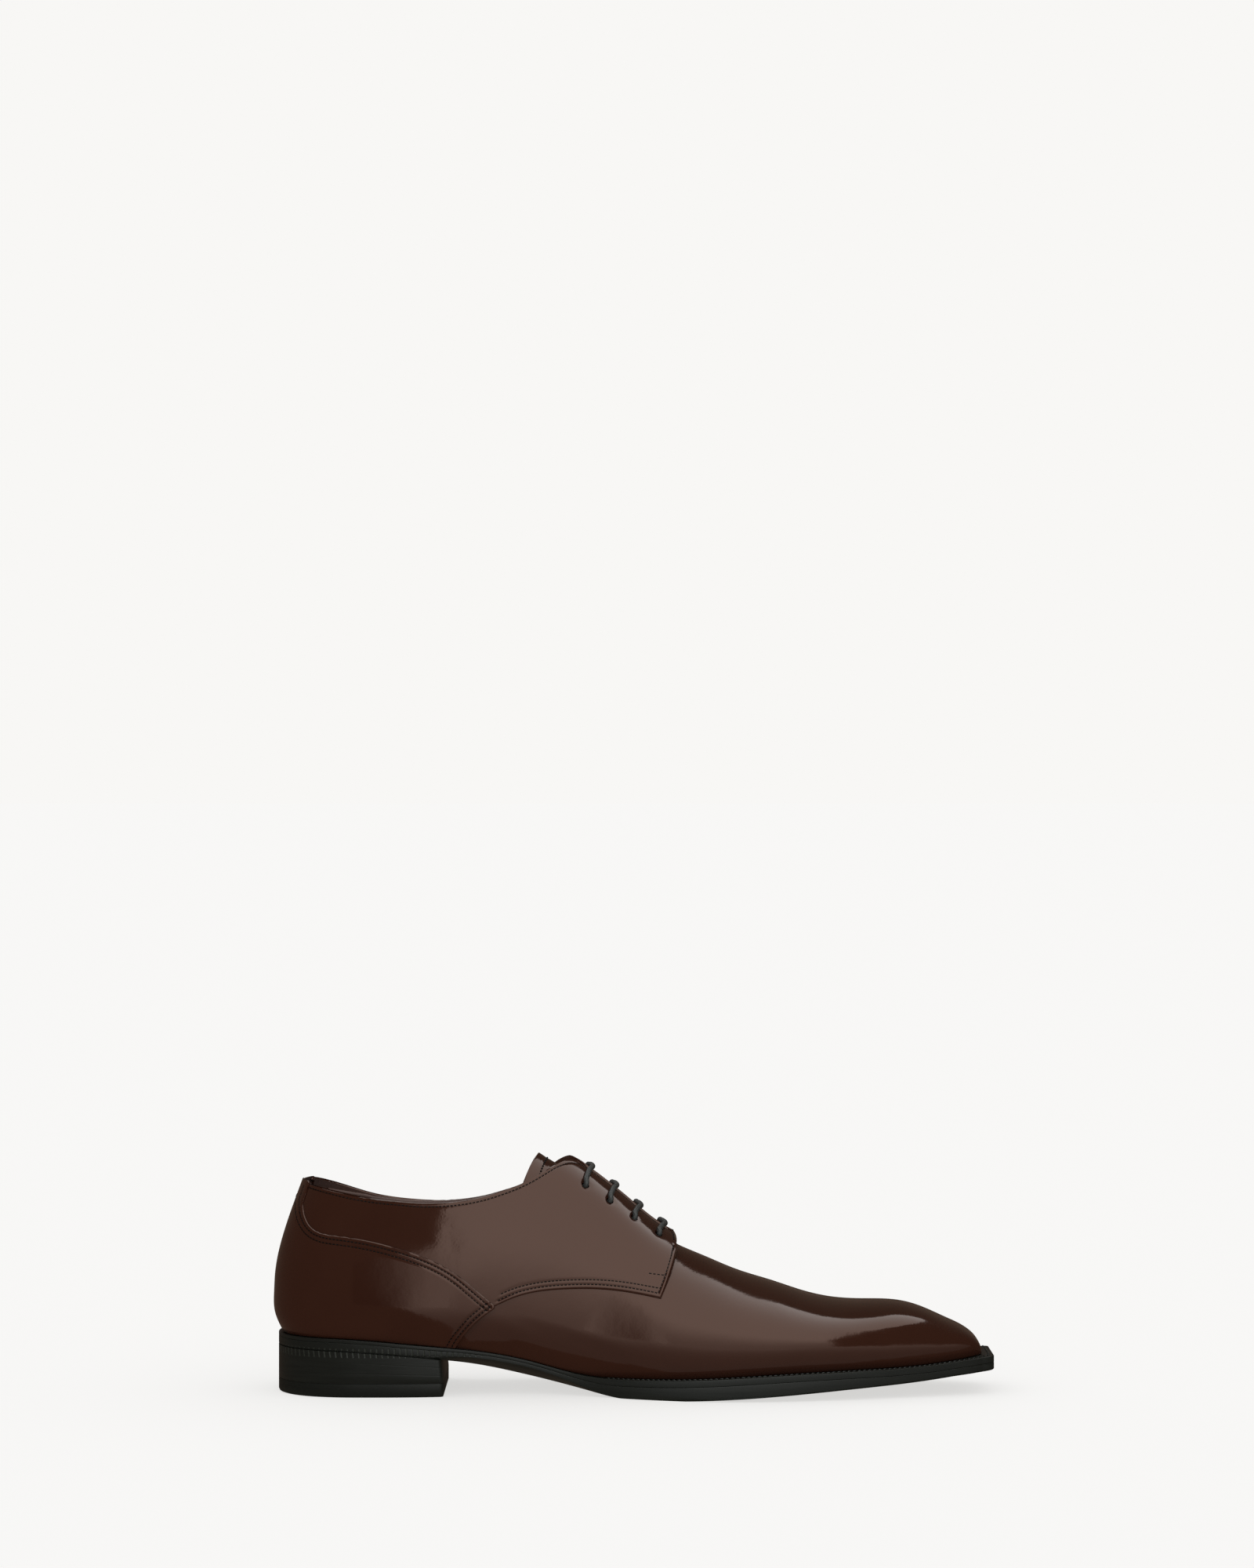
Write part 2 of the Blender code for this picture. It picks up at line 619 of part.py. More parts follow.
def make_quarter(name, side):
    """Quarter with its facing: bounded by the counter seam, the vamp seam, the front edge, and topline and throat."""
    grow = GAP + OVERLAY
    seam = counter_edge(side, grow)
    left = seam[:STRAP_POINTS + 1][::-1]
    under = np.concatenate([seam[STRAP_POINTS:], drawn(side, VAMP_SEAM, 36, grow)[1:]])
    front = drawn(side, FRONT_SEAM, 12, grow)
    x_top = np.concatenate([
        np.linspace(x_of(COUNTER_SEAM[0][0]), x_of(FACING_TOP - 0.02), 40),
    ])
    g_top = g_of(x_top, topline_height(side, x_top), grow)
    collar = np.stack([run_of(g_top), t_at_height(side, g_top, topline_height(side, x_top), grow)], axis=-1)
    g_throat = g_of(x_of(np.linspace(FACING_TOP, FACING_END, 24)), 0.0)
    throat = np.stack([run_of(g_throat), t_at_breadth(side, g_throat, THROAT_GAP, grow)], axis=-1)
    top = np.concatenate([collar, throat, front[-1:]])
    bottom_edge, top_edge = resampled(under, 36), resampled(top, 36)
    left_edge, right_edge = resampled(left, 8), resampled(front, 8)
    left_edge[-1], left_edge[0] = top_edge[0], bottom_edge[0]
    right_edge[0], right_edge[-1] = bottom_edge[-1], top_edge[-1]
    cells = coons(bottom_edge, top_edge, left_edge, right_edge)
    cells = np.concatenate([np.full(cells.shape[:2] + (1,), side), cells], axis=-1)
    raised = facing_share(side, line_at(cells[..., 1]), cells[..., 2])
    thickness = OVERLAY + (FACING - OVERLAY) * raised
    outer, inner = overlay_sheet(name, cells, thickness, FACING_LIFT * raised)
    return sheet(name, "brown_leather", outer, inner)


def resampled(pairs, count):
    """A line of (run, t) pairs at even spacing, with t weighed by the last's girth."""
    weight = (1, 1.2 * INSTEP)
    run = np.concatenate([[0], np.cumsum(np.hypot(*np.diff(pairs * weight, axis=0).T))])
    at = np.linspace(0, run[-1], count)
    return np.stack([np.interp(at, run, pairs[:, 0]), np.interp(at, run, pairs[:, 1])], axis=-1)


def make_counter():
    """Heel counter and back strap: one piece round the back, thicker than the quarters that butt against it."""
    grow = GAP + OVERLAY
    grids = []
    for side in (MEDIAL, LATERAL):
        seam = counter_edge(side, grow, aside=2 * GAP)
        shank = drawn(side, SHANK_SEAM, 12, grow)
        middle, tab, hook = run_of(-1.0), seam[0][0], seam[STRAP_POINTS][0]
        strap = np.linspace(middle, tab, 5)
        peak = np.full(5, topline_height(side, x_of(COUNTER_SEAM[0][0])) + STRAP_RISE)
        crown = np.stack([strap, t_at_height(side, line_at(strap), peak, grow)], axis=-1)
        crown[-1, 1] = crown[-2, 1]
        edge = np.concatenate([crown[-1:], seam[1:STRAP_POINTS + 1]])
        top = np.concatenate([crown[:-1], resampled(edge, 8)[:-1], resampled(seam[STRAP_POINTS:], 24)])
        foot = middle + 0.7 * (tab - middle)
        base = np.concatenate([
            np.linspace(middle, foot, 5)[:-1], np.linspace(foot, hook, 8)[:-1], np.linspace(hook, shank[-1][0], 24)
        ])
        bottom = np.stack([base, np.zeros(len(base))], axis=-1)
        left = np.stack([np.full(11, middle), np.linspace(0, top[0][1], 11)], axis=-1)
        right = resampled(shank[::-1], 11)
        right[0], right[-1] = bottom[-1], top[-1]
        cells = coons(bottom, top, left, right)
        grids.append(np.concatenate([np.full(cells.shape[:2] + (1,), side), cells], axis=-1))
    cells = np.concatenate([grids[0][::-1], grids[1][1:]])
    flat = np.zeros(cells.shape[:2])
    outer, inner = overlay_sheet("counter", cells, flat + OVERLAY + COUNTER_STEP, flat)
    lift_bottom(outer)
    lift_bottom(inner)
    sheet("counter", "brown_leather", outer, inner)


def make_tongue():
    """Tongue, let into the vamp's throat and running up past the collar, a little under the facings."""
    lines, root = station_lines(), throat_root()
    last = root - 2.5 * TONGUE_CLEAR * (root - lines[lines < root][-1]) / throat_half(lines[lines < root][-1])
    top = g_of(x_of(TONGUE_TOP), 0.0)
    g_rows = np.concatenate([[top], lines[(lines > top + 0.01) & (lines < last - 0.005)], [last]])[::-1]
    across = np.linspace(-1, 1, 13)
    grids = {0.0: [], TONGUE: []}
    for place in along(g_rows, 0):
        raised = np.clip((x_of(FACING_END) - place) / (x_of(FACING_END) - x_of(TONGUE_TOP)), 0, 1)
        behind = (x_of(TONGUE_TOP) - x_of(TONGUE_TOP_SIDE)) * raised**4 * abs(across) ** 1.6
        side = np.where(across < 0, MEDIAL, LATERAL)
        g = g_of(place - behind, 0.0)
        edge = np.array([
            t_at_breadth(s, np.array([one]), throat_half(one) - TONGUE_CLEAR)[0] for s, one in zip(side, g)
        ])
        t = 1 - (1 - edge) * abs(across)
        for depth in grids:
            grids[depth].append([
                lasted(s, one, at, -TONGUE_DROP * raised - depth) for s, one, at in zip(side, g, t)
            ])
    sheet("tongue", "brown_leather", np.array(grids[0.0]), np.array(grids[TONGUE]))


def sole_value(name, g):
    return looked_up(SOLE_COLUMNS, SOLE, name, station_of(plan_x(g)))


def plan_x(g):
    """X of a station line at the feather line."""
    return np.where(g < 0, X_STRAIGHT - HEEL_DEPTH * oval(g)[0], along(g, 0))


def ring(g, inset, height):
    """A loop round the sole on the station lines g: lateral side from the back to the tip, then back along the
    medial side. inset is how far in from the sole's edge, height a function of side and g."""
    loop = []
    for side, lines in ((LATERAL, g), (MEDIAL, g[:0:-1])):
        grow = EDGE_MARGIN * sole_value("edge_" + side_word(side), lines) - inset
        points = lasted(side, lines, 0.0, grow)
        points[..., 2] = height(side, lines)
        loop.append(points)
    return np.concatenate(loop)


def feather_ring(g, inset, height):
    """The same round the feather line, inset from it."""
    loop = []
    for side, lines in ((LATERAL, g), (MEDIAL, g[:0:-1])):
        points = lasted(side, lines, 0.0, -inset)
        points[..., 2] = height(side, lines)
        loop.append(points)
    return np.concatenate(loop)


def feather(side, g):
    return feather_height(side, plan_x(g))


def welt_bottom(side, g):
    return feather(side, g) - WELT * sole_value("welt", g)


def tread(side, g):
    height = HEEL_RISE * sole_value("tread_heel", g) + TOE_SPRING * sole_value("tread_toe", g)
    return np.maximum(height, 0.0)


def edge_bottom(side, g):
    edge = feather(side, g) - BALL_SEAT * sole_value("edge", g)
    return np.maximum(edge, tread(side, g) + TREAD_CHAMFER)


def stacked(name, color, rings, hollow=False, even_caps=False):
    """A solid through rings of equal length: capped at both ends with strips across it or, with even_caps, with
    one face each; or hollow, when its last ring joins its first."""
    n = len(rings[0])
    points = np.concatenate(rings)
    faces = []
    pairs = list(zip(range(len(rings) - 1), range(1, len(rings))))
    if hollow:
        pairs.append((len(rings) - 1, 0))
    for a, b in pairs:
        faces += [(a * n + k, a * n + (k + 1) % n, b * n + (k + 1) % n, b * n + k) for k in range(n)]
    if even_caps:
        faces += [tuple(range(n)), tuple(range((len(rings) - 1) * n, len(rings) * n))]
    elif not hollow:
        for first in (0, (len(rings) - 1) * n):
            for k in range((n - 1) // 2):
                faces.append((first + k, first + k + 1, first + n - 1 - k, first + (n - k) % n))
    return solid(name, color, points, faces)


def make_bottom():
    """Insole, welt, outsole, heel and top piece."""
    g = station_lines()
    stacked("welt", "black_sole", [
        ring(g, 0.0, feather),
        ring(g, 0.0, welt_bottom),
        feather_ring(g, INSOLE_INSET - GAP, welt_bottom),
        feather_ring(g, INSOLE_INSET - GAP, feather),
    ], hollow=True)
    stacked("insole", "lining_leather", [
        feather_ring(g, INSOLE_INSET, lambda side, line: feather(side, line) + INSOLE_RISE),
        feather_ring(g, INSOLE_INSET, welt_bottom),
    ])
    bevel = TREAD_CHAMFER + BEVEL_WIDTH * np.clip(sole_value("bevel", g), 0, 1)
    stacked("outsole", "black_sole", [
        ring(g, 0.0, lambda side, line: welt_bottom(side, line) - GAP),
        ring(g, 0.0, edge_bottom),
        split_ring(g, bevel, tread),
    ])
    make_heel()


def split_ring(g, insets, height):
    """A ring whose inset differs from line to line."""
    loop = []
    for side, lines, inward in ((LATERAL, g, insets), (MEDIAL, g[:0:-1], insets[:0:-1])):
        grow = EDGE_MARGIN * sole_value("edge_" + side_word(side), lines) - inward
        points = lasted(side, lines, 0.0, grow)
        points[..., 2] = height(side, lines)
        loop.append(points)
    return np.concatenate(loop)


def heel_lines(height):
    """Station lines of the heel at a height, ending at its raked breast."""
    back = X_BACK + OVERLAY + GAP + COUNTER_STEP
    breast = back + HEEL_LENGTH + BREAST_RAKE * (1 - height / HEEL_RISE)
    fan = np.linspace(-1, 0, FAN_STEPS, endpoint=False)
    return np.concatenate([fan, np.linspace(0, g_of(breast, 0.0), 8)])


def make_heel():
    top, base = heel_lines(HEEL_RISE), heel_lines(0.0)
    stacked("heel", "black_sole", [
        ring(top, 0.0, lambda side, line: tread(side, line) - GAP),
        ring(base, 0.0, lambda side, line: np.full(len(line), TOP_PIECE + GAP)),
    ])
    stacked("top_piece", "black_rubber", [
        ring(base, 0.0, lambda side, line: np.full(len(line), TOP_PIECE)),
        ring(base, 0.0, lambda side, line: np.full(len(line), TOP_PIECE_CHAMFER)),
        ring(base, TOP_PIECE_CHAMFER, lambda side, line: np.zeros(len(line))),
    ])


def facing_point(side, x, breadth, over):
    """A point this far from the ridge and this far over the facing's outer face."""
    g = g_of(x, 0.0)
    t = t_at_breadth(side, np.array([g]), breadth)[0]
    raised = facing_share(side, g, t)
    outer = GAP + FACING_LIFT * raised + OVERLAY + (FACING - OVERLAY) * raised
    return lasted(side, g, t, outer + over)


def eyelet_places():
    return x_of(np.linspace(EYELET_FIRST, EYELET_LAST, EYELETS))


def eyelet(side, x):
    """Centre of an eyelet on the facing's outer face, the face's normal, and its run along the throat."""
    far = THROAT_GAP + EYELET_INSET
    here = facing_point(side, x, far, 0)
    near = facing_point(side, x, far - 2, 0) - facing_point(side, x, far + 2, 0)
    ahead = facing_point(side, x + 2, far, 0) - facing_point(side, x - 2, far, 0)
    ahead /= np.linalg.norm(ahead)
    normal = np.cross(near, ahead) * side
    return here, normal / np.linalg.norm(normal), ahead


def cut_eyelets(quarter, side):
    """Punches the eyelets through a quarter's facing, square to it."""
    turn = 12
    angle = np.arange(turn) * 2 * math.pi / turn
    for x in eyelet_places():
        here, normal, ahead = eyelet(side, x)
        across = np.cross(normal, ahead)
        circle = EYELET_RADIUS * (np.cos(angle)[:, None] * ahead + np.sin(angle)[:, None] * across)
        rims = [here + circle + reach * normal for reach in (FACING, -2 * FACING)]
        cut(quarter, stacked("eyelet_cutter", "black_cord", rims, even_caps=True))


def cut(body, cutter):
    """Takes the cutter out of the body and removes it."""
    change = body.modifiers.new("cut", "BOOLEAN")
    change.operation, change.solver, change.object = "DIFFERENCE", "EXACT", cutter
    graph = bpy.context.evaluated_depsgraph_get()
    made = bpy.data.meshes.new_from_object(body.evaluated_get(graph))
    body.modifiers.clear()
    old, body.data = body.data, made
    bpy.data.meshes.remove(old)
    bpy.data.objects.remove(cutter)


def make_lace():
    """One straight bar of the lace over each pair of eyelets, its ends down in their holes."""
    far = THROAT_GAP + EYELET_INSET
    for number, x in enumerate(eyelet_places(), 1):
        half = {}
        for side in (MEDIAL, LATERAL):
            over = LACE_RADIUS + 2.5 * GAP
            here, normal, ahead = eyelet(side, x)
            run = [here - 0.5 * FACING * normal, here + 0.6 * LACE_RADIUS * normal]
            for share in (0.09, 0.24, 0.5, 0.75, 1.0):
                lean = BAR_LEAN * share * EYELET_INSET / far
                run.append(facing_point(side, x + lean, far - EYELET_INSET * share, over))
            half[side] = run
        path = np.array(half[MEDIAL] + half[LATERAL][::-1])
        tube("lace_bar_%d" % number, "black_cord", path, LACE_RADIUS, 8)


def tube(name, color, path, radius, sides):
    """A round cord along a path."""
    along_path = np.gradient(path, axis=0)
    along_path /= np.linalg.norm(along_path, axis=1)[:, None]
    fixed = np.array([1.0, 0.0, 0.0])
    rings = []
    for p, d in zip(path, along_path):
        u = fixed - d * fixed.dot(d)
        u /= np.linalg.norm(u)
        v = np.cross(d, u)
        angle = np.arange(sides) * 2 * math.pi / sides
        rings.append(p + radius * (np.cos(angle)[:, None] * u + np.sin(angle)[:, None] * v))
    return stacked(name, color, rings, even_caps=True)


def main():
    for old in list(bpy.data.objects):
        bpy.data.objects.remove(old)
    make_upper()
    for name, side in SIDES.items():
        cut_eyelets(make_quarter("quarter_" + name, side), side)
    make_counter()
    make_tongue()
    make_bottom()
    make_lace()


main()
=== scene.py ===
"""Looks of the left derby shoe: polished brown leather on a long chiselled last, over a black leather sole.

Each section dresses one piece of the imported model, in the order in which the shoe is put together. Shapes
are worked out in millimetres, as surfaces over the same last as the model's, and go into meshes in metres.
"""

import math

import bmesh
import bpy
import numpy as np
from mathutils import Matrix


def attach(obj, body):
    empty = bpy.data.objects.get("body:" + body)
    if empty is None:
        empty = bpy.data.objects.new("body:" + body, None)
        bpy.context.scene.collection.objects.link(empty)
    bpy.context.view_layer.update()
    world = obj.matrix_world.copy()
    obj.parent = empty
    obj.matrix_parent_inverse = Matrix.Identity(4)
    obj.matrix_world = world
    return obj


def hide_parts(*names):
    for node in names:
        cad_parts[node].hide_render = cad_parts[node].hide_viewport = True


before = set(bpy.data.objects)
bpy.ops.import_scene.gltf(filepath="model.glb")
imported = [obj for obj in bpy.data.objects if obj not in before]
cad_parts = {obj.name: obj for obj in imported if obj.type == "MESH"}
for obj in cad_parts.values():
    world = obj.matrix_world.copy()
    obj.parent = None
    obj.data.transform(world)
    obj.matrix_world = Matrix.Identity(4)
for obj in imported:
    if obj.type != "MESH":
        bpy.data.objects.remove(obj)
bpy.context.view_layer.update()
MM = 0.001


# Camera
# A long lens straight at the shoe's medial side, a little over the floor, as in the photograph.
CAMERA_PLACE = (-2.5, -2000.0, 261.2)
CAMERA_LENS = 106.0

camera_data = bpy.data.cameras.new("camera")
camera_data.lens = CAMERA_LENS
camera_data.sensor_width = 36.0
camera_data.clip_end = 100.0
camera = bpy.data.objects.new("camera", camera_data)
camera.location = [c * MM for c in CAMERA_PLACE]
camera.rotation_euler = (math.pi / 2, 0, 0)
bpy.context.scene.collection.objects.link(camera)
bpy.context.scene.camera = camera


# The last
# The wooden form that every leather piece is pulled over. Its tables are the model's own: sections across
# the shoe, its ridge and its back, each a share of a named size, with natural cubic splines between them.
LENGTH = 310.0
BALL_WIDTH = 94.0
INSTEP = 80.0
BALL_SEAT = 8.0
HEEL_RISE = 17.2
TOE_SPRING = 8.2
ARCH_LIFT = 3.0
HEEL_DEPTH = 38.0
HEEL_ROUND = 2.3
TOE_CORNER = 13.0
TOE_ROUND = 2.5
TOE_FALL = 3.0
TOE_FLAT = 10.5
BACK_ARC = 1.3
WIDEST_T = 0.2
EDGE_MARGIN = 5.0
WALL = 1.5
OVERLAY = 1.1
COUNTER_STEP = 0.7
GAP = 0.3
MEDIAL, LATERAL = -1.0, 1.0
SIDE_NAMES = {MEDIAL: "medial", LATERAL: "lateral"}

SECTION_COLUMNS = (
    "station", "rise", "spring", "arch",
    "feather_medial", "feather_lateral", "bulge_medial", "bulge_lateral",
    "widest", "box",
)
SECTIONS = (
    (0.000, 1.000, 0.00, 0.00, 0.290, 0.334, 0.054, 0.044, 0.25, 2.05),
    (0.052, 0.990, 0.00, 0.00, 0.302, 0.320, 0.040, 0.041, 0.25, 2.05),
    (0.123, 0.945, 0.00, 0.00, 0.306, 0.314, 0.036, 0.040, 0.25, 2.05),
    (0.194, 0.800, 0.00, 0.17, 0.302, 0.322, 0.040, 0.042, 0.25, 2.05),
    (0.274, 0.550, 0.00, 0.70, 0.282, 0.334, 0.056, 0.044, 0.26, 2.10),
    (0.355, 0.270, 0.00, 0.75, 0.260, 0.352, 0.072, 0.048, 0.26, 2.20),
    (0.435, 0.030, 0.00, 0.10, 0.282, 0.398, 0.066, 0.052, 0.25, 2.20),
    (0.500, 0.000, 0.01, 0.00, 0.352, 0.452, 0.052, 0.054, 0.22, 2.10),
    (0.565, 0.000, 0.08, 0.00, 0.424, 0.505, 0.046, 0.054, 0.19, 2.05),
    (0.629, 0.000, 0.21, 0.00, 0.460, 0.530, 0.044, 0.052, 0.165, 2.10),
    (0.694, 0.000, 0.35, 0.00, 0.453, 0.510, 0.042, 0.046, 0.15, 2.15),
    (0.758, 0.000, 0.44, 0.00, 0.414, 0.452, 0.038, 0.038, 0.14, 2.25),
    (0.823, 0.000, 0.50, 0.00, 0.355, 0.372, 0.030, 0.030, 0.125, 2.45),
    (0.887, 0.000, 0.58, 0.00, 0.286, 0.288, 0.024, 0.024, 0.11, 2.70),
    (0.935, 0.000, 0.74, 0.00, 0.234, 0.227, 0.020, 0.020, 0.09, 2.90),
    (0.984, 0.000, 1.00, 0.00, 0.185, 0.172, 0.014, 0.014, 0.07, 3.00),
)
RIDGE_COLUMNS = ("station", "height", "shift")
RIDGE = (
    (0.052, 1.250, 0.00), (0.123, 1.240, 0.00), (0.194, 1.250, 0.00), (0.274, 1.250, 0.01),
    (0.326, 1.200, 0.02), (0.374, 1.155, 0.03), (0.435, 1.040, 0.04), (0.484, 0.900, 0.045),
    (0.532, 0.745, 0.045), (0.565, 0.665, 0.045), (0.597, 0.605, 0.042), (0.645, 0.514, 0.038),
    (0.694, 0.442, 0.03), (0.742, 0.372, 0.02), (0.781, 0.335, 0.01), (0.823, 0.322, 0.00),
    (0.874, 0.308, -0.01), (0.900, 0.276, -0.01), (0.935, 0.204, -0.01), (0.962, 0.145, -0.01),
    (0.984, 0.100, -0.01),
)
BACK_COLUMNS = ("height", "inset")
BACK = (
    (0.00, 0.105), (0.10, 0.012), (0.22, 0.000), (0.31, 0.010),
    (0.54, 0.115), (0.69, 0.222), (0.83, 0.330), (1.25, 0.600),
)
X_BACK = -LENGTH / 2
X_STRAIGHT = X_BACK + HEEL_DEPTH
X_TIP = LENGTH / 2 - EDGE_MARGIN
X_CORNER = X_TIP - TOE_CORNER


def spline(knots, values, at):
    """Natural cubic spline through the knots, carried on straight past both ends."""
    knots, values, at = np.asarray(knots, float), np.asarray(values, float), np.asarray(at, float)
    step = np.diff(knots)
    count = len(knots)
    system, right = np.eye(count), np.zeros(count)
    for i in range(1, count - 1):
        system[i, i - 1:i + 2] = step[i - 1], 2 * (step[i - 1] + step[i]), step[i]
        right[i] = 6 * ((values[i + 1] - values[i]) / step[i] - (values[i] - values[i - 1]) / step[i - 1])
    bend = np.linalg.solve(system, right)
    inside = np.clip(at, knots[0], knots[-1])
    i = np.clip(np.searchsorted(knots, inside) - 1, 0, count - 2)
    h, a, b = step[i], knots[i + 1] - inside, inside - knots[i]
    value = (
        (bend[i] * a**3 + bend[i + 1] * b**3) / (6 * h)
        + (values[i] / h - bend[i] * h / 6) * a
        + (values[i + 1] / h - bend[i + 1] * h / 6) * b
    )
    slope = (
        (bend[i + 1] * b**2 - bend[i] * a**2) / (2 * h)
        + (values[i + 1] - values[i]) / h
        - (bend[i + 1] - bend[i]) * h / 6
    )
    return value + slope * (at - inside)


def looked_up(columns, table, name, at):
    """A column of a table as a spline over the table's first column."""
    rows = np.array(table, float)
    return spline(rows[:, 0], rows[:, columns.index(name)], at)


def station_of(x):
    return (x - X_BACK) / LENGTH


def x_of(station):
    return X_BACK + station * LENGTH


def section(name, x):
    return looked_up(SECTION_COLUMNS, SECTIONS, name, station_of(np.clip(x, X_STRAIGHT, X_TIP)))


def sided(name, side, x):
    """A pair of columns, one for each side of the shoe."""
    return np.where(side < 0, section(name + "_medial", x), section(name + "_lateral", x))


def feather_height(side, x):
    """Height of the feather line, where upper and sole meet: ball seat, heel rise, toe spring and arch
    together."""
    rise = looked_up(SECTION_COLUMNS, SECTIONS, "rise", station_of(np.minimum(x, X_TIP)))
    arch = np.where(side < 0, section("arch", x), 0.0)
    return BALL_SEAT + HEEL_RISE * rise + TOE_SPRING * section("spring", x) + ARCH_LIFT * arch


def corner(x, tip, power):
    """1 along the sides, falling on a superellipse round the toe's corner to 0 at the tip."""
    share = np.clip((x - X_CORNER) / (tip - X_CORNER), 0, 1)
    return (1 - share**power) ** (1 / power)


def toe_shift():
    return (section("feather_lateral", X_TIP) - section("feather_medial", X_TIP)) / 2 * BALL_WIDTH


def along(g, grow):
    """X of a station line g: -1 to 0 round the heel, 0 to 1 along the side, 1 to 2 round the toe's
    corner."""
    side_run = X_STRAIGHT + (X_CORNER - X_STRAIGHT) * np.clip(g, 0, 1)
    toe_run = (X_TIP + grow - X_CORNER) * np.sin(np.clip(g - 1, 0, 1) * math.pi / 2)
    return side_run + toe_run


def back_line(height):
    """X of the back of the heel at a height over its seat."""
    inset = HEEL_DEPTH * looked_up(BACK_COLUMNS, BACK, "inset", height / INSTEP)
    return X_BACK + OVERLAY + GAP + COUNTER_STEP + inset


def oval(g):
    """Shares of the heel's depth and breadth on a station line behind the straight side, on a
    superellipse."""
    angle = (np.clip(g, -1, 0) + 1) * math.pi / 2
    size = (np.cos(angle) ** HEEL_ROUND + np.sin(angle) ** HEEL_ROUND) ** (-1 / HEEL_ROUND)
    return np.cos(angle) * size, np.sin(angle) * size


def lasted(side, g, t, grow=0.0):
    """Points of the last grown by a thickness. Station line g gives the place along it, and t the place up
    it: 0 at the feather line, WIDEST_T at the widest line, 1 on the ridge, on a superellipse between the
    last two."""
    side, g, t, grow = np.broadcast_arrays(*(np.asarray(v, float) for v in (side, g, t, grow)))
    x = along(g, grow)
    turn = corner(x, X_TIP + grow, TOE_ROUND)
    fall = corner(x, X_TIP + grow, TOE_FALL)
    middle = toe_shift() * side * np.clip((x - X_STRAIGHT) / (X_TIP - X_STRAIGHT), 0, 1) ** 3
    flat = TOE_FLAT - middle
    feather = flat + (BALL_WIDTH * sided("feather", side, x) - middle - flat) * turn + middle * (1 - turn)
    bulge = BALL_WIDTH * sided("bulge", side, x) * turn
    deep, broad = oval(g)
    low = feather_height(side, np.where(g < 0, X_STRAIGHT - HEEL_DEPTH * deep, x))
    ridge_height = INSTEP * looked_up(RIDGE_COLUMNS, RIDGE, "height", station_of(x)) * fall
    widest = low + np.minimum(INSTEP * section("widest", x), 0.45 * INSTEP) * fall
    ridge = feather_height(LATERAL, x) + ridge_height
    ridge = ridge + grow * np.where(turn > 0, 1.15, 0) * np.clip(ridge_height / 6, 0, 1)
    top_y = -side * BALL_WIDTH * looked_up(RIDGE_COLUMNS, RIDGE, "shift", station_of(x))
    out_y = feather + bulge + grow
    lower = np.clip(1 - t / WIDEST_T, 0, 1)
    angle = np.clip((t - WIDEST_T) / (1 - WIDEST_T), 0, 1) * math.pi / 2
    box = section("box", x)
    size = (np.cos(angle) ** box + np.sin(angle) ** box) ** (-1 / box)
    y = top_y + (out_y - top_y) * np.cos(angle) * size - bulge * lower**2
    z = widest - (widest - low) * lower + (ridge - widest) * np.sin(angle) * size
    depth = X_STRAIGHT - back_line(z - low) + grow
    x = np.where(g < 0, X_STRAIGHT - depth * deep, x)
    y = np.where(g < 0, y * broad, y)
    return np.stack([x, side * y, z], axis=-1)


def crossed(values, ts, target):
    """The t at which each row of rising values reaches its target, straight between neighbours."""
    target = np.broadcast_to(target, values.shape[:-1])
    i = np.clip((values < target[..., None]).sum(-1), 1, len(ts) - 1)
    after = np.take_along_axis(values, i[..., None], -1)[..., 0]
    before = np.take_along_axis(values, i[..., None] - 1, -1)[..., 0]
    share = np.clip((target - before) / np.maximum(after - before, 1e-9), 0, 1)
    return ts[i - 1] + (ts[i] - ts[i - 1]) * share


def t_at_height(side, g, height, grow=0.0):
    ts = np.linspace(0, 1, 241)
    heights = lasted(np.asarray(side)[..., None], np.asarray(g)[..., None], ts, grow)[..., 2]
    return crossed(heights, ts, height)


def t_at_breadth(side, g, breadth, grow=0.0):
    """The t above the widest line at which a station line is this far from the ridge, sideways."""
    ts = np.linspace(WIDEST_T, 1, 241)
    side = np.asarray(side)[..., None]
    y = lasted(side, np.asarray(g)[..., None], ts, grow)[..., 1] * side
    return crossed(-y, ts, -(y[..., -1] + breadth))


def g_of(x, z, grow=0.0):
    """Station line through a point of the side view on the last grown by a thickness."""
    ahead = (x - X_STRAIGHT) / (X_CORNER - X_STRAIGHT)
    depth = X_STRAIGHT - back_line(z - feather_height(LATERAL, x)) + grow
    lines = np.linspace(-1, 0, 181)
    behind = np.interp(-np.clip((X_STRAIGHT - x) / depth, 0, 1), -oval(lines)[0], lines)
    return np.where(x < X_STRAIGHT, behind, ahead)


def run_of(g):
    """Length along the last at a station line, from the heel's end of the straight side."""
    return np.where(g < 0, g * BACK_ARC * HEEL_DEPTH, g * (X_CORNER - X_STRAIGHT))


def line_at(run):
    return np.where(run < 0, run / (BACK_ARC * HEEL_DEPTH), run / (X_CORNER - X_STRAIGHT))


# How far the sole's edge stands out from the last, medial and lateral, as shares of EDGE_MARGIN. The
# frame's origin lies in the middle of the sole's width, so every y of the last is moved by sole_middle.
EDGE_COLUMNS = ("station", "medial", "lateral")
EDGE = (
    (0.000, 0.80, 0.80), (0.123, 0.80, 0.80), (0.194, 0.78, 0.80), (0.234, 0.60, 0.76), (0.274, 0.25, 0.68),
    (0.320, 0.14, 0.60), (0.361, 0.14, 0.58), (0.405, 0.22, 0.62), (0.445, 0.50, 0.76), (0.475, 0.72, 0.86),
    (0.500, 0.84, 0.90), (0.540, 0.90, 0.92), (0.600, 0.92, 0.92), (0.660, 0.93, 0.93), (0.728, 0.95, 0.95),
    (0.815, 0.97, 0.97), (0.902, 1.00, 1.00), (1.000, 1.00, 1.00),
)


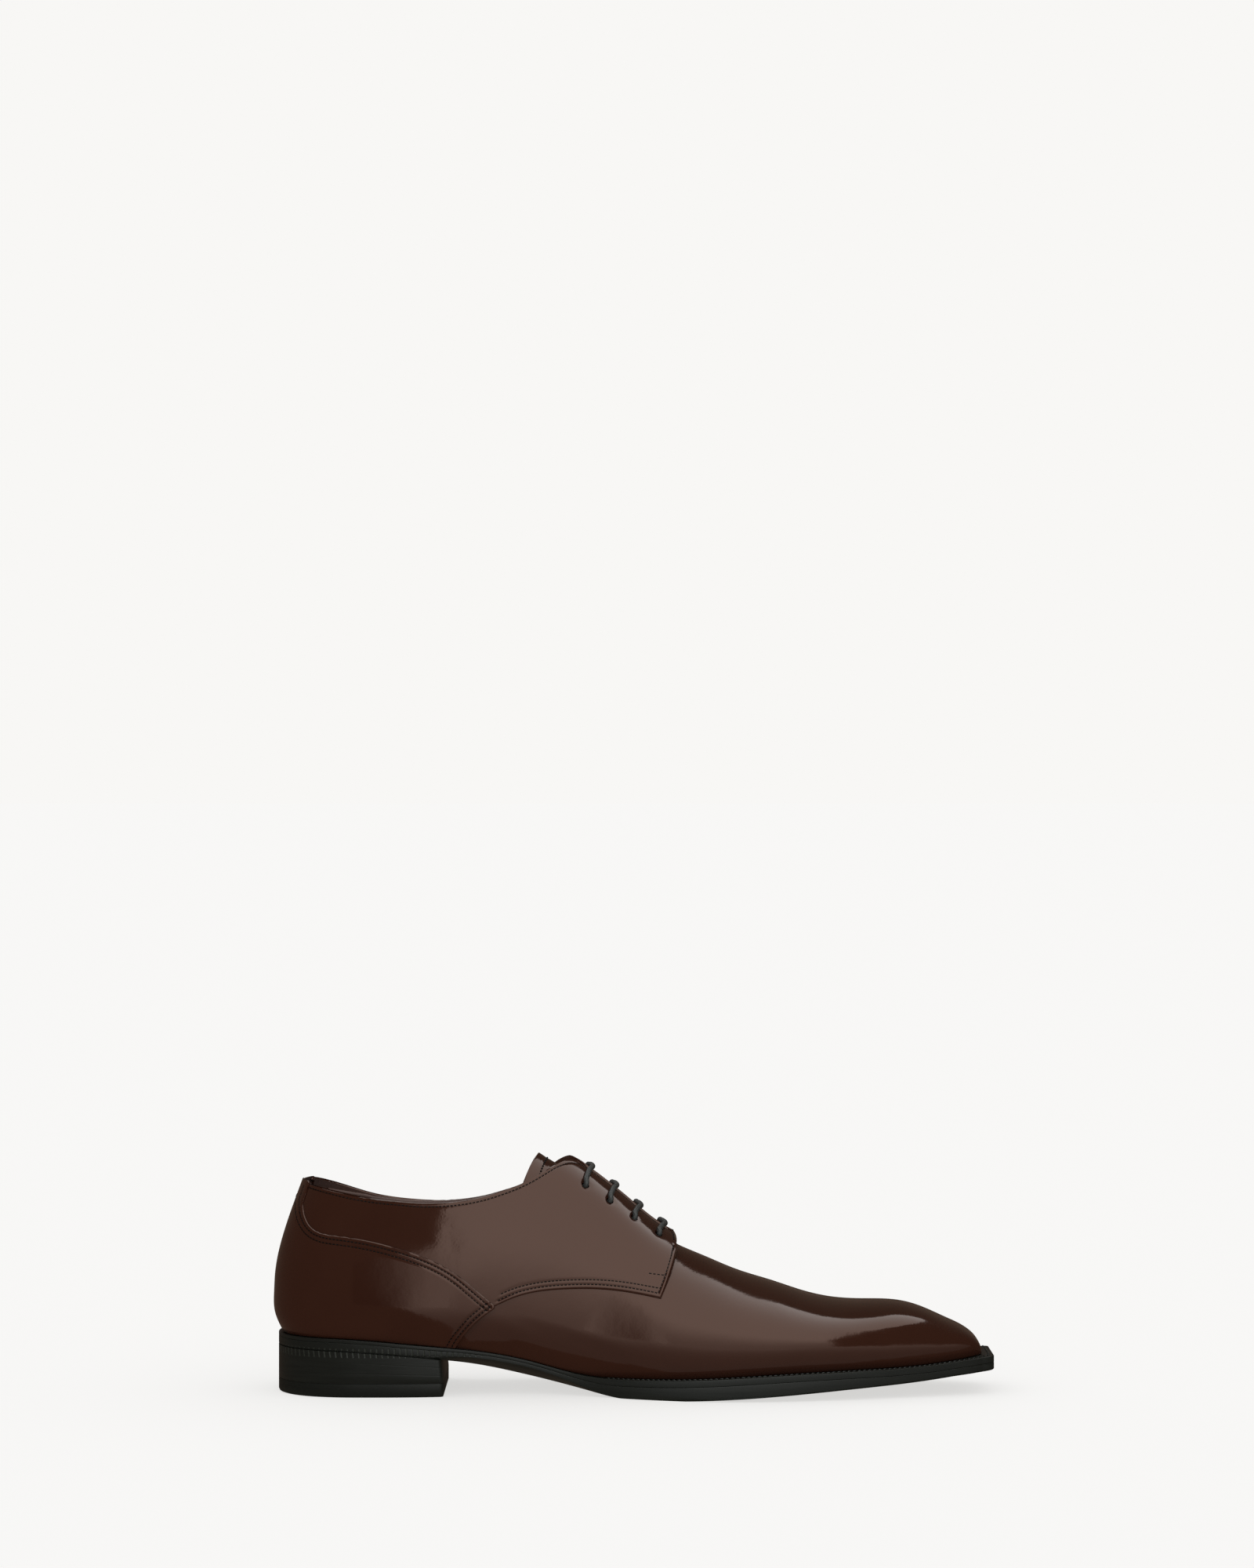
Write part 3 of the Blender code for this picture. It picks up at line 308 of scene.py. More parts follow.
def edge_width(side, x):
    return EDGE_MARGIN * np.where(
        side < 0,
        looked_up(EDGE_COLUMNS, EDGE, "medial", station_of(x)),
        looked_up(EDGE_COLUMNS, EDGE, "lateral", station_of(x)),
    )


straight_lines = np.linspace(0, 1, 29)
sole_reach = [
    abs(lasted(side, straight_lines, 0.0, edge_width(side, along(straight_lines, 0)))[:, 1]).max()
    for side in (MEDIAL, LATERAL)
]
sole_middle = (sole_reach[1] - sole_reach[0]) / 2

# Soft dents that lasting and handling leave in the leather, on the medial and the lateral side: place in
# the side view, direction, length and width, and depth (a ridge where it is negative).
DENTS = {
    MEDIAL: (
        (-38.0, 27.0, -0.50, 34.0, 4.2, 0.30),
        (-24.0, 24.0, -0.46, 30.0, 3.6, 0.26),
        (-12.0, 20.0, -0.40, 22.0, 3.0, 0.20),
        (-50.0, 22.0, -0.62, 20.0, 3.4, 0.20),
        (-77.0, 66.0, 1.35, 18.0, 6.5, 0.15),
        (-70.0, 50.0, 1.10, 14.0, 5.0, -0.12),
        (-98.0, 38.0, 0.10, 26.0, 9.0, -0.22),
        (58.0, 30.0, 0.90, 16.0, 6.0, 0.12),
    ),
    LATERAL: (
        (-30.0, 26.0, -0.45, 30.0, 4.0, 0.24),
        (-12.0, 22.0, -0.35, 24.0, 3.4, 0.20),
        (-84.0, 60.0, 1.30, 20.0, 6.5, 0.26),
        (52.0, 28.0, 0.80, 16.0, 6.0, 0.14),
    ),
}


def dented(side, points):
    """Depth of the dents at points of one side: a bell across each and a bell along it."""
    x, z = points[..., 0], points[..., 2]
    total = np.zeros(x.shape)
    for at_x, at_z, turn, length, width, depth in DENTS[side]:
        along_it = (x - at_x) * math.cos(turn) + (z - at_z) * math.sin(turn)
        across_it = (z - at_z) * math.cos(turn) - (x - at_x) * math.sin(turn)
        total += depth * np.exp(-((along_it / length * 2) ** 2) - (across_it / width) ** 2)
    return total


def pulled(side, g, t, over):
    """The last with leather of that thickness over it, its dents pressed in, and fading towards the
    ridge."""
    fade = np.clip((1 - t) / 0.25, 0, 1)
    return lasted(side, g, t, over - dented(side, lasted(side, g, t, over)) * fade**2 * (3 - 2 * fade))


# Leather in general
# Calf, chrome tanned, its grain rolled flat and polished. A thin hard film of wax gives it sharp
# reflections over a dark, warm brown; the pores of the grain, about 0.3 mm apart, only break them up
# close by.
GRAIN = 0.35
MOTTLE = 28.0


def srgb(code):
    """Linear colour of an sRGB hex value."""
    parts = [int(code[k:k + 2], 16) / 255 for k in (0, 2, 4)]
    return [p / 12.92 if p <= 0.04045 else ((p + 0.055) / 1.055) ** 2.4 for p in parts] + [1.0]


def node(tree, kind, inputs=None, **settings):
    """Adds a node with its settings. An input is a value, or an output socket to link."""
    made = tree.nodes.new(kind)
    for name, value in settings.items():
        setattr(made, name, value)
    for name, value in (inputs or {}).items():
        if isinstance(value, bpy.types.NodeSocket):
            tree.links.new(value, made.inputs[name])
        else:
            made.inputs[name].default_value = value
    return made


def new_material(name):
    made = bpy.data.materials.new(name)
    made.use_nodes = True
    return made, made.node_tree, made.node_tree.nodes["Principled BSDF"]


def polished_calf(name, deep, lighter_tone, roughness):
    """Mottled colour between two browns, a fine grain and a slight unevenness of the polish as bump."""
    made, tree, shader = new_material(name)
    place = node(tree, "ShaderNodeTexCoord").outputs["Object"]
    mottle = node(tree, "ShaderNodeTexNoise", {"Vector": place, "Scale": 1 / (MOTTLE * MM), "Detail": 4.0})
    color = node(tree, "ShaderNodeMix", {"Factor": mottle.outputs["Fac"]}, data_type="RGBA")
    color.inputs[6].default_value, color.inputs[7].default_value = srgb(deep), srgb(lighter_tone)
    grain = node(tree, "ShaderNodeTexVoronoi", {"Vector": place, "Scale": 1 / (GRAIN * 3 * MM)})
    bump = node(tree, "ShaderNodeBump", {
        "Height": grain.outputs["Distance"], "Strength": 0.03, "Distance": 0.0002,
    })
    polish = node(tree, "ShaderNodeTexNoise", {"Vector": place, "Scale": 1 / (9 * MM), "Detail": 2.0})
    uneven = node(tree, "ShaderNodeBump", {
        "Height": polish.outputs["Fac"], "Strength": 0.25, "Distance": 0.0003,
        "Normal": bump.outputs["Normal"],
    })
    rough = node(tree, "ShaderNodeMapRange", {
        "Value": mottle.outputs["Fac"], "To Min": roughness * 0.8, "To Max": roughness * 1.25,
    })
    tree.links.new(color.outputs["Result"], shader.inputs["Base Color"])
    tree.links.new(uneven.outputs["Normal"], shader.inputs["Normal"])
    tree.links.new(rough.outputs["Result"], shader.inputs["Roughness"])
    shader.inputs["IOR"].default_value = 1.5
    shader.inputs["Specular Tint"].default_value = srgb("FFDCCB")
    return made


calf = polished_calf("polished_calf", "2B160F", "311B13", 0.10)

# Lining calf, undyed on the flesh side and matt: it takes light evenly and shows no reflections.
lining, lining_tree, lining_shader = new_material("lining_calf")
lining_place = node(lining_tree, "ShaderNodeTexCoord").outputs["Object"]
lining_pores = node(lining_tree, "ShaderNodeTexNoise", {
    "Vector": lining_place, "Scale": 900.0, "Detail": 3.0,
})
lining_bump = node(lining_tree, "ShaderNodeBump", {
    "Height": lining_pores.outputs["Fac"], "Strength": 0.15, "Distance": 0.0002,
})
lining_mix = node(lining_tree, "ShaderNodeMix", {"Factor": lining_pores.outputs["Fac"]}, data_type="RGBA")
lining_mix.inputs[6].default_value = srgb("3A2620")
lining_mix.inputs[7].default_value = srgb("4A332A")
lining_tree.links.new(lining_mix.outputs["Result"], lining_shader.inputs["Base Color"])
lining_tree.links.new(lining_bump.outputs["Normal"], lining_shader.inputs["Normal"])
lining_shader.inputs["Roughness"].default_value = 0.6


# Vamp and lining
# The front of the upper, one hide from the toe back to the heel, with its lining: pulled over the last
# wet, held at the feather line, open at the collar and down the throat.
TOPLINE_COLUMNS = ("station", "medial", "lateral")
TOPLINE = (
    (0.040, 1.038, 1.038), (0.065, 1.018, 1.000), (0.097, 0.991, 0.953), (0.124, 0.969, 0.920),
    (0.177, 0.944, 0.888), (0.211, 0.935, 0.881), (0.242, 0.938, 0.886), (0.293, 0.966, 0.915),
    (0.319, 0.996, 0.945), (0.348, 1.035, 0.985), (0.376, 1.078, 1.045), (0.400, 1.110, 1.100),
    (0.419, 1.118, 1.122),
)
FACING_TOP = 0.432
FACING_END = 0.556
THROAT_ROOT = 0.560
TONGUE_HALF = 0.25
VAMP_RIM = 0.7  # radius of the rounded edge at the topline
RIDGE_REACH = 7  # grid columns over which the ridge is rounded


def topline_height(side, x):
    name = "medial" if side < 0 else "lateral"
    return BALL_SEAT + INSTEP * looked_up(TOPLINE_COLUMNS, TOPLINE, name, station_of(x))


def topline_t(side, g, grow):
    guess = lasted(side, g, 0.8, grow)[..., 0]
    return t_at_height(side, g, topline_height(side, guess), grow)


def throat_half(g):
    """Half width of the throat's cut-out: straight sides that close in a half circle at its root."""
    start = x_of(FACING_END) - 2 * (x_of(THROAT_ROOT) - x_of(FACING_END))
    share = np.clip((along(g, 0) - start) / (x_of(THROAT_ROOT) - start), 0, 1)
    return BALL_WIDTH * TONGUE_HALF * np.sqrt(1 - share**2)


def quads(numbers):
    """Faces between the neighbours of a grid of point numbers."""
    corners = (numbers[:-1, :-1], numbers[1:, :-1], numbers[1:, 1:], numbers[:-1, 1:])
    return np.stack(corners, -1).reshape(-1, 4)


def piece(name, points, faces, materials, nodes, kinds=None, sharp=38, uv=None):
    """Makes a closed mesh from points in millimetres: joins points that coincide, turns its faces outwards,
    shades it smooth up to an angle, and seats it on the shoe in place of its nodes."""
    mesh = bpy.data.meshes.new(name)
    mesh.from_pydata(((points.reshape(-1, 3) - (0.0, sole_middle, 0.0)) * MM).tolist(), [], faces.tolist())
    for one in materials:
        mesh.materials.append(one)
    if kinds is not None:
        mesh.polygons.foreach_set("material_index", np.asarray(kinds, np.int32))
    if uv is not None:
        layer = mesh.uv_layers.new(name="edge")
        numbers = np.empty(len(mesh.loops), np.int32)
        mesh.loops.foreach_get("vertex_index", numbers)
        layer.data.foreach_set("uv", uv.reshape(-1, 2)[numbers].astype(np.float32).ravel())
    work = bmesh.new()
    work.from_mesh(mesh)
    bmesh.ops.remove_doubles(work, verts=work.verts, dist=2e-6)
    bmesh.ops.recalc_face_normals(work, faces=work.faces)
    work.to_mesh(mesh)
    work.free()
    mesh.shade_smooth()
    mesh.set_sharp_from_angle(angle=math.radians(sharp))
    made = bpy.data.objects.new(name, mesh)
    bpy.context.scene.collection.objects.link(made)
    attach(made, "root")
    if nodes:
        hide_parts(*nodes)
    return made


def thick(outer, inner):
    """Points, faces and kinds of a sheet between two grids, closed round its rim. Kind 1 is the inner
    side."""
    n, m = outer.shape[:2]
    out = np.arange(n * m).reshape(n, m)
    into = out + n * m
    rims = [
        np.stack([into[0], out[0]]), np.stack([out[-1], into[-1]]),
        np.stack([out[:, 0], into[:, 0]]), np.stack([into[:, -1], out[:, -1]]),
    ]
    faces = [quads(out), quads(into[:, ::-1])] + [quads(rim) for rim in rims]
    kinds = np.concatenate(
        [np.zeros(len(faces[0])), np.ones(len(faces[1]))] + [np.zeros(len(f)) for f in faces[2:]]
    )
    return np.concatenate([outer.reshape(-1, 3), inner.reshape(-1, 3)]), np.concatenate(faces), kinds


heel_lines = np.linspace(-1, 0, 40, endpoint=False)
side_lines = np.linspace(0, 1, 150, endpoint=False)
toe_lines = 1 + np.linspace(0, 1, 26)
root_line = float(g_of(x_of(THROAT_ROOT), 0.0))
throat_lines = root_line - 0.03 * (1 - np.cos(np.linspace(0, 1, 14) * math.pi / 2))[::-1]
vamp_lines = np.unique(np.concatenate([heel_lines, side_lines, throat_lines, toe_lines]))


def seated(grid):
    """Lifts a grid whose first column is the feather line just clear of the welt, all of the flat tip with
    it."""
    grid[..., 2] = np.maximum(grid[..., 2], grid[:, :1, 2] + GAP)
    return grid


def rounded_over(halves, lines):
    """Both halves of a grid with the ridge between them rounded: a running mean across it that fades out
    sideways, and sets in behind the throat's root."""
    columns = halves[0].shape[1]
    across = np.concatenate([halves[0], halves[1][:, -2::-1]], axis=1)
    place = np.arange(across.shape[1])
    near = np.exp(-(((place - columns + 1) / 5) ** 2))
    mean = np.clip(1 - abs(place[:, None] - place) / RIDGE_REACH, 0, 1)
    mean /= mean.sum(1, keepdims=True)
    change = np.einsum("ij,ajk->aik", mean, across) - across
    change *= (np.clip((lines - root_line) / 0.04, 0, 1)[:, None] * near)[..., None]
    return [halves[0] + change[:, :columns], halves[1] + change[:, columns - 1:][:, ::-1]]


def make_vamp():
    """One wall from the feather line to the topline and the throat, medial from the tip back, lateral to
    the tip."""
    grids = {0.0: [], -WALL: []}
    for side in (MEDIAL, LATERAL):
        top = np.ones(len(vamp_lines))
        open_lines = vamp_lines[vamp_lines <= root_line]
        top[:len(open_lines)] = np.minimum(
            topline_t(side, open_lines, 0.0), t_at_breadth(side, open_lines, throat_half(open_lines))
        )
        rows = np.concatenate([np.linspace(0, 0.97, 56), [0.98, 0.988, 0.994, 0.998, 1.0]])
        t = top[:, None] * rows
        height = 60.0 * (1 - rows) * (top[:, None] < 1)
        for depth in grids:
            middle = -WALL / 2
            rounding = np.sqrt(1 - np.clip(1 - height / VAMP_RIM, 0, 1) ** 2)
            over = np.where(top[:, None] < 1, middle + (depth - middle) * rounding, depth)
            grids[depth].append(seated(pulled(side, vamp_lines[:, None], t, over)))
    grids = {depth: rounded_over(pair, vamp_lines) for depth, pair in grids.items()}
    outer, inner = (np.concatenate([pair[0][::-1], pair[1][1:]]) for pair in grids.values())
    points, faces, kinds = thick(outer, inner)
    count = outer.shape[0]
    ahead = np.concatenate([vamp_lines[::-1], vamp_lines[1:]]) >= root_line
    first_rim = len(faces) - (count - 1)
    joined = ahead[:-1] & ahead[1:]
    keep = np.ones(len(faces), bool)
    keep[first_rim - (count - 1):first_rim] = ~joined
    return piece("vamp_and_lining", points, faces[keep], [calf, lining], ["upper"],
                 kinds[keep])


make_vamp()


# Tongue
# Calf on lining, its edge folded under and stitched round the top. It is let into the throat under the
# facings and runs up past the collar.
TONGUE = 1.8
TONGUE_TOP = 0.368
TONGUE_TOP_SIDE = 0.345
TONGUE_SLANT = 0.3  # the lateral half of its top edge slants back this much of the medial half
TONGUE_DROP = 3.4
TONGUE_LIFT = 1.2  # how far its free end stands up again
TONGUE_CLEAR = 0.5
TONGUE_RIM = 0.9


def tongue_place(share, across):
    """Side, station line and t at a share of the tongue's length from root to top, and a share of its half
    width."""
    root, top = x_of(FACING_END + 0.002), x_of(TONGUE_TOP)
    x = root + (top - root) * share
    side = np.where(across < 0, MEDIAL, LATERAL)
    slant = np.where(across < 0, 1.0, TONGUE_SLANT)
    behind = (top - x_of(TONGUE_TOP_SIDE)) * share**4 * slant * abs(across) ** 1.6
    g = g_of(x - behind, 0.0)
    half = BALL_WIDTH * TONGUE_HALF - TONGUE_CLEAR
    edge = t_at_breadth(side, g, half * (1 - 0.12 * share))
    return side, g, 1 - (1 - edge) * abs(across)


def tongue_point(share, across, depth):
    """A point of the tongue that deep under its face, which sinks from the last's skin by TONGUE_DROP to
    its top."""
    side, g, t = tongue_place(share, across)
    return lasted(side, g, t, -TONGUE_DROP * np.clip(share * 1.06, 0, 1) + TONGUE_LIFT * share**8 - depth)


tongue_shares = np.concatenate([np.linspace(0, 0.95, 60), 1 - 0.05 * (1 - np.linspace(0, 1, 16)[1:]) ** 2])
tongue_across = np.sin(np.linspace(-1, 1, 61) * math.pi / 2)
length_left = 60.0 * (1 - tongue_shares)[:, None]
width_left = BALL_WIDTH * TONGUE_HALF * (1 - abs(tongue_across))[None]
tongue_left = np.minimum(length_left, width_left)
tongue_round = 1 - np.sqrt(1 - np.clip(1 - tongue_left / TONGUE_RIM, 0, 1) ** 2)
tongue_groove = 0.18 * np.exp(-(((tongue_left - 4.0) / 0.45) ** 2))
tongue_grids = [
    tongue_point(tongue_shares[:, None], tongue_across[None], depth)
    for depth in (TONGUE / 2 * tongue_round + tongue_groove, TONGUE - TONGUE / 2 * tongue_round)
]
tongue_points, tongue_faces, tongue_kinds = thick(*tongue_grids)
piece("tongue", tongue_points, tongue_faces, [calf, lining], ["tongue"], tongue_kinds)


# Quarters
# Two quarters of calf, sewn over the vamp in a point at the front and open over the tongue. Their facings
# are doubled where the eyelets are punched; edges are folded and stitched.
COUNTER_SEAM = (
    (0.051, 1.028), (0.044, 0.960), (0.045, 0.860), (0.057, 0.790), (0.095, 0.750),
    (0.150, 0.713), (0.205, 0.650), (0.252, 0.562), (0.286, 0.458), (0.309, 0.383),
)
SHANK_SEAM = (
    (0.309, 0.383), (0.289, 0.325), (0.2695, 0.249), (0.255, 0.169), (0.248, 0.105),
)
VAMP_SEAM = (
    (0.309, 0.383), (0.336, 0.431), (0.368, 0.464), (0.408, 0.480), (0.448, 0.484),
    (0.488, 0.474), (0.538, 0.443),
)
FRONT_SEAM = (
    (0.538, 0.443), (0.5445, 0.500), (0.5515, 0.560), (0.5575, 0.612), (0.562, 0.665),
)
FACING = 2.4
FACING_LIFT = 1.8
THROAT_GAP = 3.5
EYELETS = 4
EYELET_INSET = 11.0
EYELET_FIRST = 0.435
EYELET_LAST = 0.536
EYELET_RADIUS = 1.7
EYELET_SINK = 0.25  # how deep the cord has pressed the leather round an eyelet
EYELET_SINK_WIDTH = 0.7
PUNCH_TURNS = 28
TACK = ((0.5211, 0.564), (0.5435, 0.550))  # bar of stitches that holds the quarter's front corner
SEAM_POINTS = 480
STRAP_SHARE = 14 / 59
UNDER = 0.04  # left between a quarter and the vamp, too little for light to pass
FOLD = 0.6  # radius of a folded edge
STITCH_IN = 1.7  # first row of stitches inside an edge
ROW_GAP = 2.0  # from the first to the second row
GROOVE = 0.2  # how deep the thread pulls the leather in
GROOVE_WIDTH = 0.48
NEAR_EDGE = np.array([
    0, 0.05, 0.14, 0.28, 0.46, 0.68, 0.92, 1.2, 1.45, 1.7, 1.95, 2.3, 2.8, 3.3, 3.7, 4.1, 4.7,
])


def drawn(side, table, count, grow, aside=0.0):
    """A seam of the side view as pairs (run, t) on one side of the last, moved aside to its right."""
    points = np.array(table, float)
    run = np.concatenate([[0], np.cumsum(np.hypot(*np.diff(points * (LENGTH, INSTEP), axis=0).T))])
    at = np.linspace(0, run[-1], count)
    x = x_of(spline(run, points[:, 0], at))
    z = BALL_SEAT + INSTEP * spline(run, points[:, 1], at)
    dx, dz = np.gradient(x), np.gradient(z)
    x, z = x + aside * dz / np.hypot(dx, dz), z - aside * dx / np.hypot(dx, dz)
    g = g_of(x, z, grow)
    return np.stack([run_of(g), t_at_height(side, g, z, grow)], axis=-1)


def counter_edge(side, grow, aside=0.0):
    """The counter's upper edge, with the back strap's sides never closing in downwards."""
    seam = drawn(side, COUNTER_SEAM, SEAM_POINTS, grow, aside)
    count = int(STRAP_SHARE * SEAM_POINTS) + 1
    strap = seam[:count, 0]
    seam[:count, 0] = np.maximum.accumulate(np.concatenate([[strap.min()], strap[1:]]))
    return seam, count


def resampled(pairs, count):
    """A line of (run, t) pairs at even spacing, with t weighed by the last's girth."""
    run = np.concatenate([[0], np.cumsum(np.hypot(*np.diff(pairs * (1, 1.2 * INSTEP), axis=0).T))])
    at = np.linspace(0, run[-1], count)
    return np.stack([np.interp(at, run, pairs[:, 0]), np.interp(at, run, pairs[:, 1])], axis=-1)


def eased(pairs, reach):
    """A line with its corners rounded: a running mean over so many points, its ends kept."""
    kernel = np.hanning(reach + 2)[1:-1]
    kernel /= kernel.sum()
    half = reach // 2
    ends = np.concatenate([
        2 * pairs[0] - pairs[half:0:-1], pairs, 2 * pairs[-1] - pairs[-2:-half - 2:-1],
    ])
    soft = np.stack([np.convolve(ends[:, k], kernel, "valid") for k in (0, 1)], axis=-1)[:len(pairs)]
    soft[0], soft[-1] = pairs[0], pairs[-1]
    return soft


def on_line(line, share):
    even = np.linspace(0, 1, len(line))
    return np.stack([np.interp(share, even, line[:, 0]), np.interp(share, even, line[:, 1])], axis=-1)


def coons(bottom, top, left, right, u, v):
    """Points at shares u and v between four edges that share their corners: bottom and top run along it."""
    side_u, side_v = u[..., None], v[..., None]
    ruled = (
        (1 - side_v) * on_line(bottom, u) + side_v * on_line(top, u)
        + (1 - side_u) * on_line(left, v) + side_u * on_line(right, v)
    )
    corners = (
        (1 - side_u) * (1 - side_v) * bottom[0] + side_u * (1 - side_v) * bottom[-1]
        + (1 - side_u) * side_v * top[0] + side_u * side_v * top[-1]
    )
    return ruled - corners


def shares(length, inner):
    """Shares of a length, close together near both its ends and even between them."""
    length = np.asarray(length, float)[..., None]
    close = NEAR_EDGE * np.minimum(1, 0.4 * length / NEAR_EDGE[-1])
    between = np.linspace(0, 1, inner + 2)[1:-1]
    middle = close[..., -1:] + (length - 2 * close[..., -1:]) * between
    return np.concatenate([close, middle, length - close[..., ::-1]], axis=-1) / length


def away(points, line):
    """Distance in mm from each point of a grid to the nearest point of a line, a row of the grid at a
    time."""
    return np.array([np.sqrt(((row[:, None] - line) ** 2).sum(-1).min(-1)) for row in points])


def fine(line, step):
    """A line of points resampled at a step in mm."""
    run = np.concatenate([[0], np.cumsum(np.linalg.norm(np.diff(line, axis=0), axis=1))])
    at = np.linspace(0, run[-1], int(run[-1] / step) + 2)
    return np.stack([np.interp(at, run, line[:, k]) for k in range(3)], axis=-1)


def facing_share(side, g, t):
    """1 at the edge of a facing, 0 from about 25 mm down its side and behind the throat."""
    x = along(g, 0)
    down = np.clip((t - 0.45) / 0.30, 0, 1)
    run = np.clip((x - x_of(FACING_TOP - 0.12)) / (0.12 * LENGTH), 0, 1)
    ahead = np.clip((x_of(FACING_END + 0.02) - x) / (0.02 * LENGTH), 0, 1)
    eases = [v * v * (3 - 2 * v) for v in (down, run, ahead)]
    return eases[0] * eases[1] * (0.45 + 0.55 * eases[2])


def quarter_over(side, g, t):
    """Height of a quarter's outer face over the last."""
    return GAP + OVERLAY + (FACING_LIFT + FACING - OVERLAY) * facing_share(side, g, t)


def on_quarter(side, pairs, over=0.0):
    g, t = line_at(pairs[..., 0]), pairs[..., 1]
    return pulled(side, g, t, quarter_over(side, g, t) + over)


def eyelet_point(side, x, breadth, over):
    """A point this far from the ridge and this far over the facing's outer face."""
    g = g_of(x, 0.0)
    t = t_at_breadth(side, g, breadth)
    return pulled(side, g, t, quarter_over(side, g, t) + over)


def eyelet(side, x):
    """Centre of an eyelet on the facing, the facing's normal there, and its run along the throat."""
    far = THROAT_GAP + EYELET_INSET
    here = eyelet_point(side, x, far, 0)
    near = eyelet_point(side, x, far - 2, 0) - eyelet_point(side, x, far + 2, 0)
    ahead = eyelet_point(side, x + 2, far, 0) - eyelet_point(side, x - 2, far, 0)
    ahead /= np.linalg.norm(ahead)
    normal = np.cross(near, ahead) * side
    return here, normal / np.linalg.norm(normal), ahead


eyelet_places = x_of(np.linspace(EYELET_FIRST, EYELET_LAST, EYELETS))


def quarter_edges(side, inside=0.0, inside_counter=0.0):
    """Edges of a quarter as (run, t) pairs, or lines that far inside them: counter seam, vamp seam, front
    edge, and collar with throat."""
    grow = GAP + OVERLAY
    seam, strap = counter_edge(side, grow, aside=-inside_counter)
    vamp = drawn(side, VAMP_SEAM, 240, grow, aside=-inside)
    front = drawn(side, FRONT_SEAM, 120, grow, aside=-inside)
    x_top = np.linspace(x_of(COUNTER_SEAM[0][0]), x_of(FACING_TOP - 0.02), 300)
    height = topline_height(side, x_top) - inside
    g_top = g_of(x_top, height)
    collar = np.stack([run_of(g_top), t_at_height(side, g_top, height, grow)], axis=-1)
    g_throat = g_of(x_of(np.linspace(FACING_TOP, FACING_END, 140)), 0.0)
    throat_breadth = THROAT_GAP + 0.8 * inside
    throat = np.stack([run_of(g_throat), t_at_breadth(side, g_throat, throat_breadth, grow)], axis=-1)
    top = eased(resampled(np.concatenate([collar, throat, front[-1:]]), 700), 31)
    return seam, strap, vamp, front, top


def quarter_rows(side):
    """The quarter's rows of stitches: two along the vamp seam, one up the front edge, and one round the
    collar and down the throat."""
    _, _, _, front, top = quarter_edges(side, STITCH_IN)
    vamp_first = drawn(side, VAMP_SEAM, 240, GAP + OVERLAY, aside=-STITCH_IN)
    vamp_second = drawn(side, VAMP_SEAM, 240, GAP + OVERLAY, aside=-STITCH_IN - ROW_GAP)
    front = front[front[:, 1] < top[-1, 1] - 0.02]
    tack = drawn(side, TACK, 20, GAP + OVERLAY)
    return {"vamp_first": vamp_first[8:-5], "vamp_second": vamp_second[16:-5], "front": front[8:],
            "collar": top[14:-12], "tack": tack}


def make_quarter(name, side):
    """A quarter between its four edges, folded at its rim and pulled in along its stitches."""
    seam, strap, vamp, front, top = quarter_edges(side)
    bottom = resampled(np.concatenate([seam[strap - 1:], vamp[1:]]), 900)
    left, right, top = resampled(seam[:strap][::-1], 300), resampled(front, 300), resampled(top, 900)
    left[-1], left[0] = top[0], bottom[0]
    right[0], right[-1] = bottom[-1], top[-1]
    u = shares(170.0, 200)
    length = np.linalg.norm(
        on_quarter(side, on_line(top, u)) - on_quarter(side, on_line(bottom, u)), axis=-1) * 1.05
    v = shares(length, 46)
    u = np.broadcast_to(u[:, None], v.shape)
    cells = coons(bottom, top, left, right, u, v)
    face = on_quarter(side, cells)
    free_rim = fine(on_quarter(side, np.concatenate([vamp, front[1:], top[::-1]])), 0.25)
    rim = away(face, free_rim)
    grooves = np.zeros(rim.shape)
    for row in quarter_rows(side).values():
        grooves += GROOVE * np.exp(-((away(face, fine(on_quarter(side, row), 0.4)) / GROOVE_WIDTH) ** 2))
    for x in eyelet_places:
        here = eyelet(side, x)[0]
        from_rim = np.linalg.norm(face - here, axis=-1) - EYELET_RADIUS
        grooves += EYELET_SINK * np.exp(-((from_rim / EYELET_SINK_WIDTH) ** 2))
    g, t = line_at(cells[..., 0]), cells[..., 1]
    low = UNDER + FACING_LIFT * facing_share(side, g, t)
    over = quarter_over(side, g, t)
    roll = np.sqrt(1 - np.clip(1 - rim / FOLD, 0, 1) ** 2)
    outer = pulled(side, g, t, low + (over - low) * roll - grooves)
    inner = pulled(side, g, t, low)
    points, faces, kinds = thick(outer, inner)
    made = piece(name, points, faces, [calf, lining], [name], kinds)
    punch(made, side)
    return made


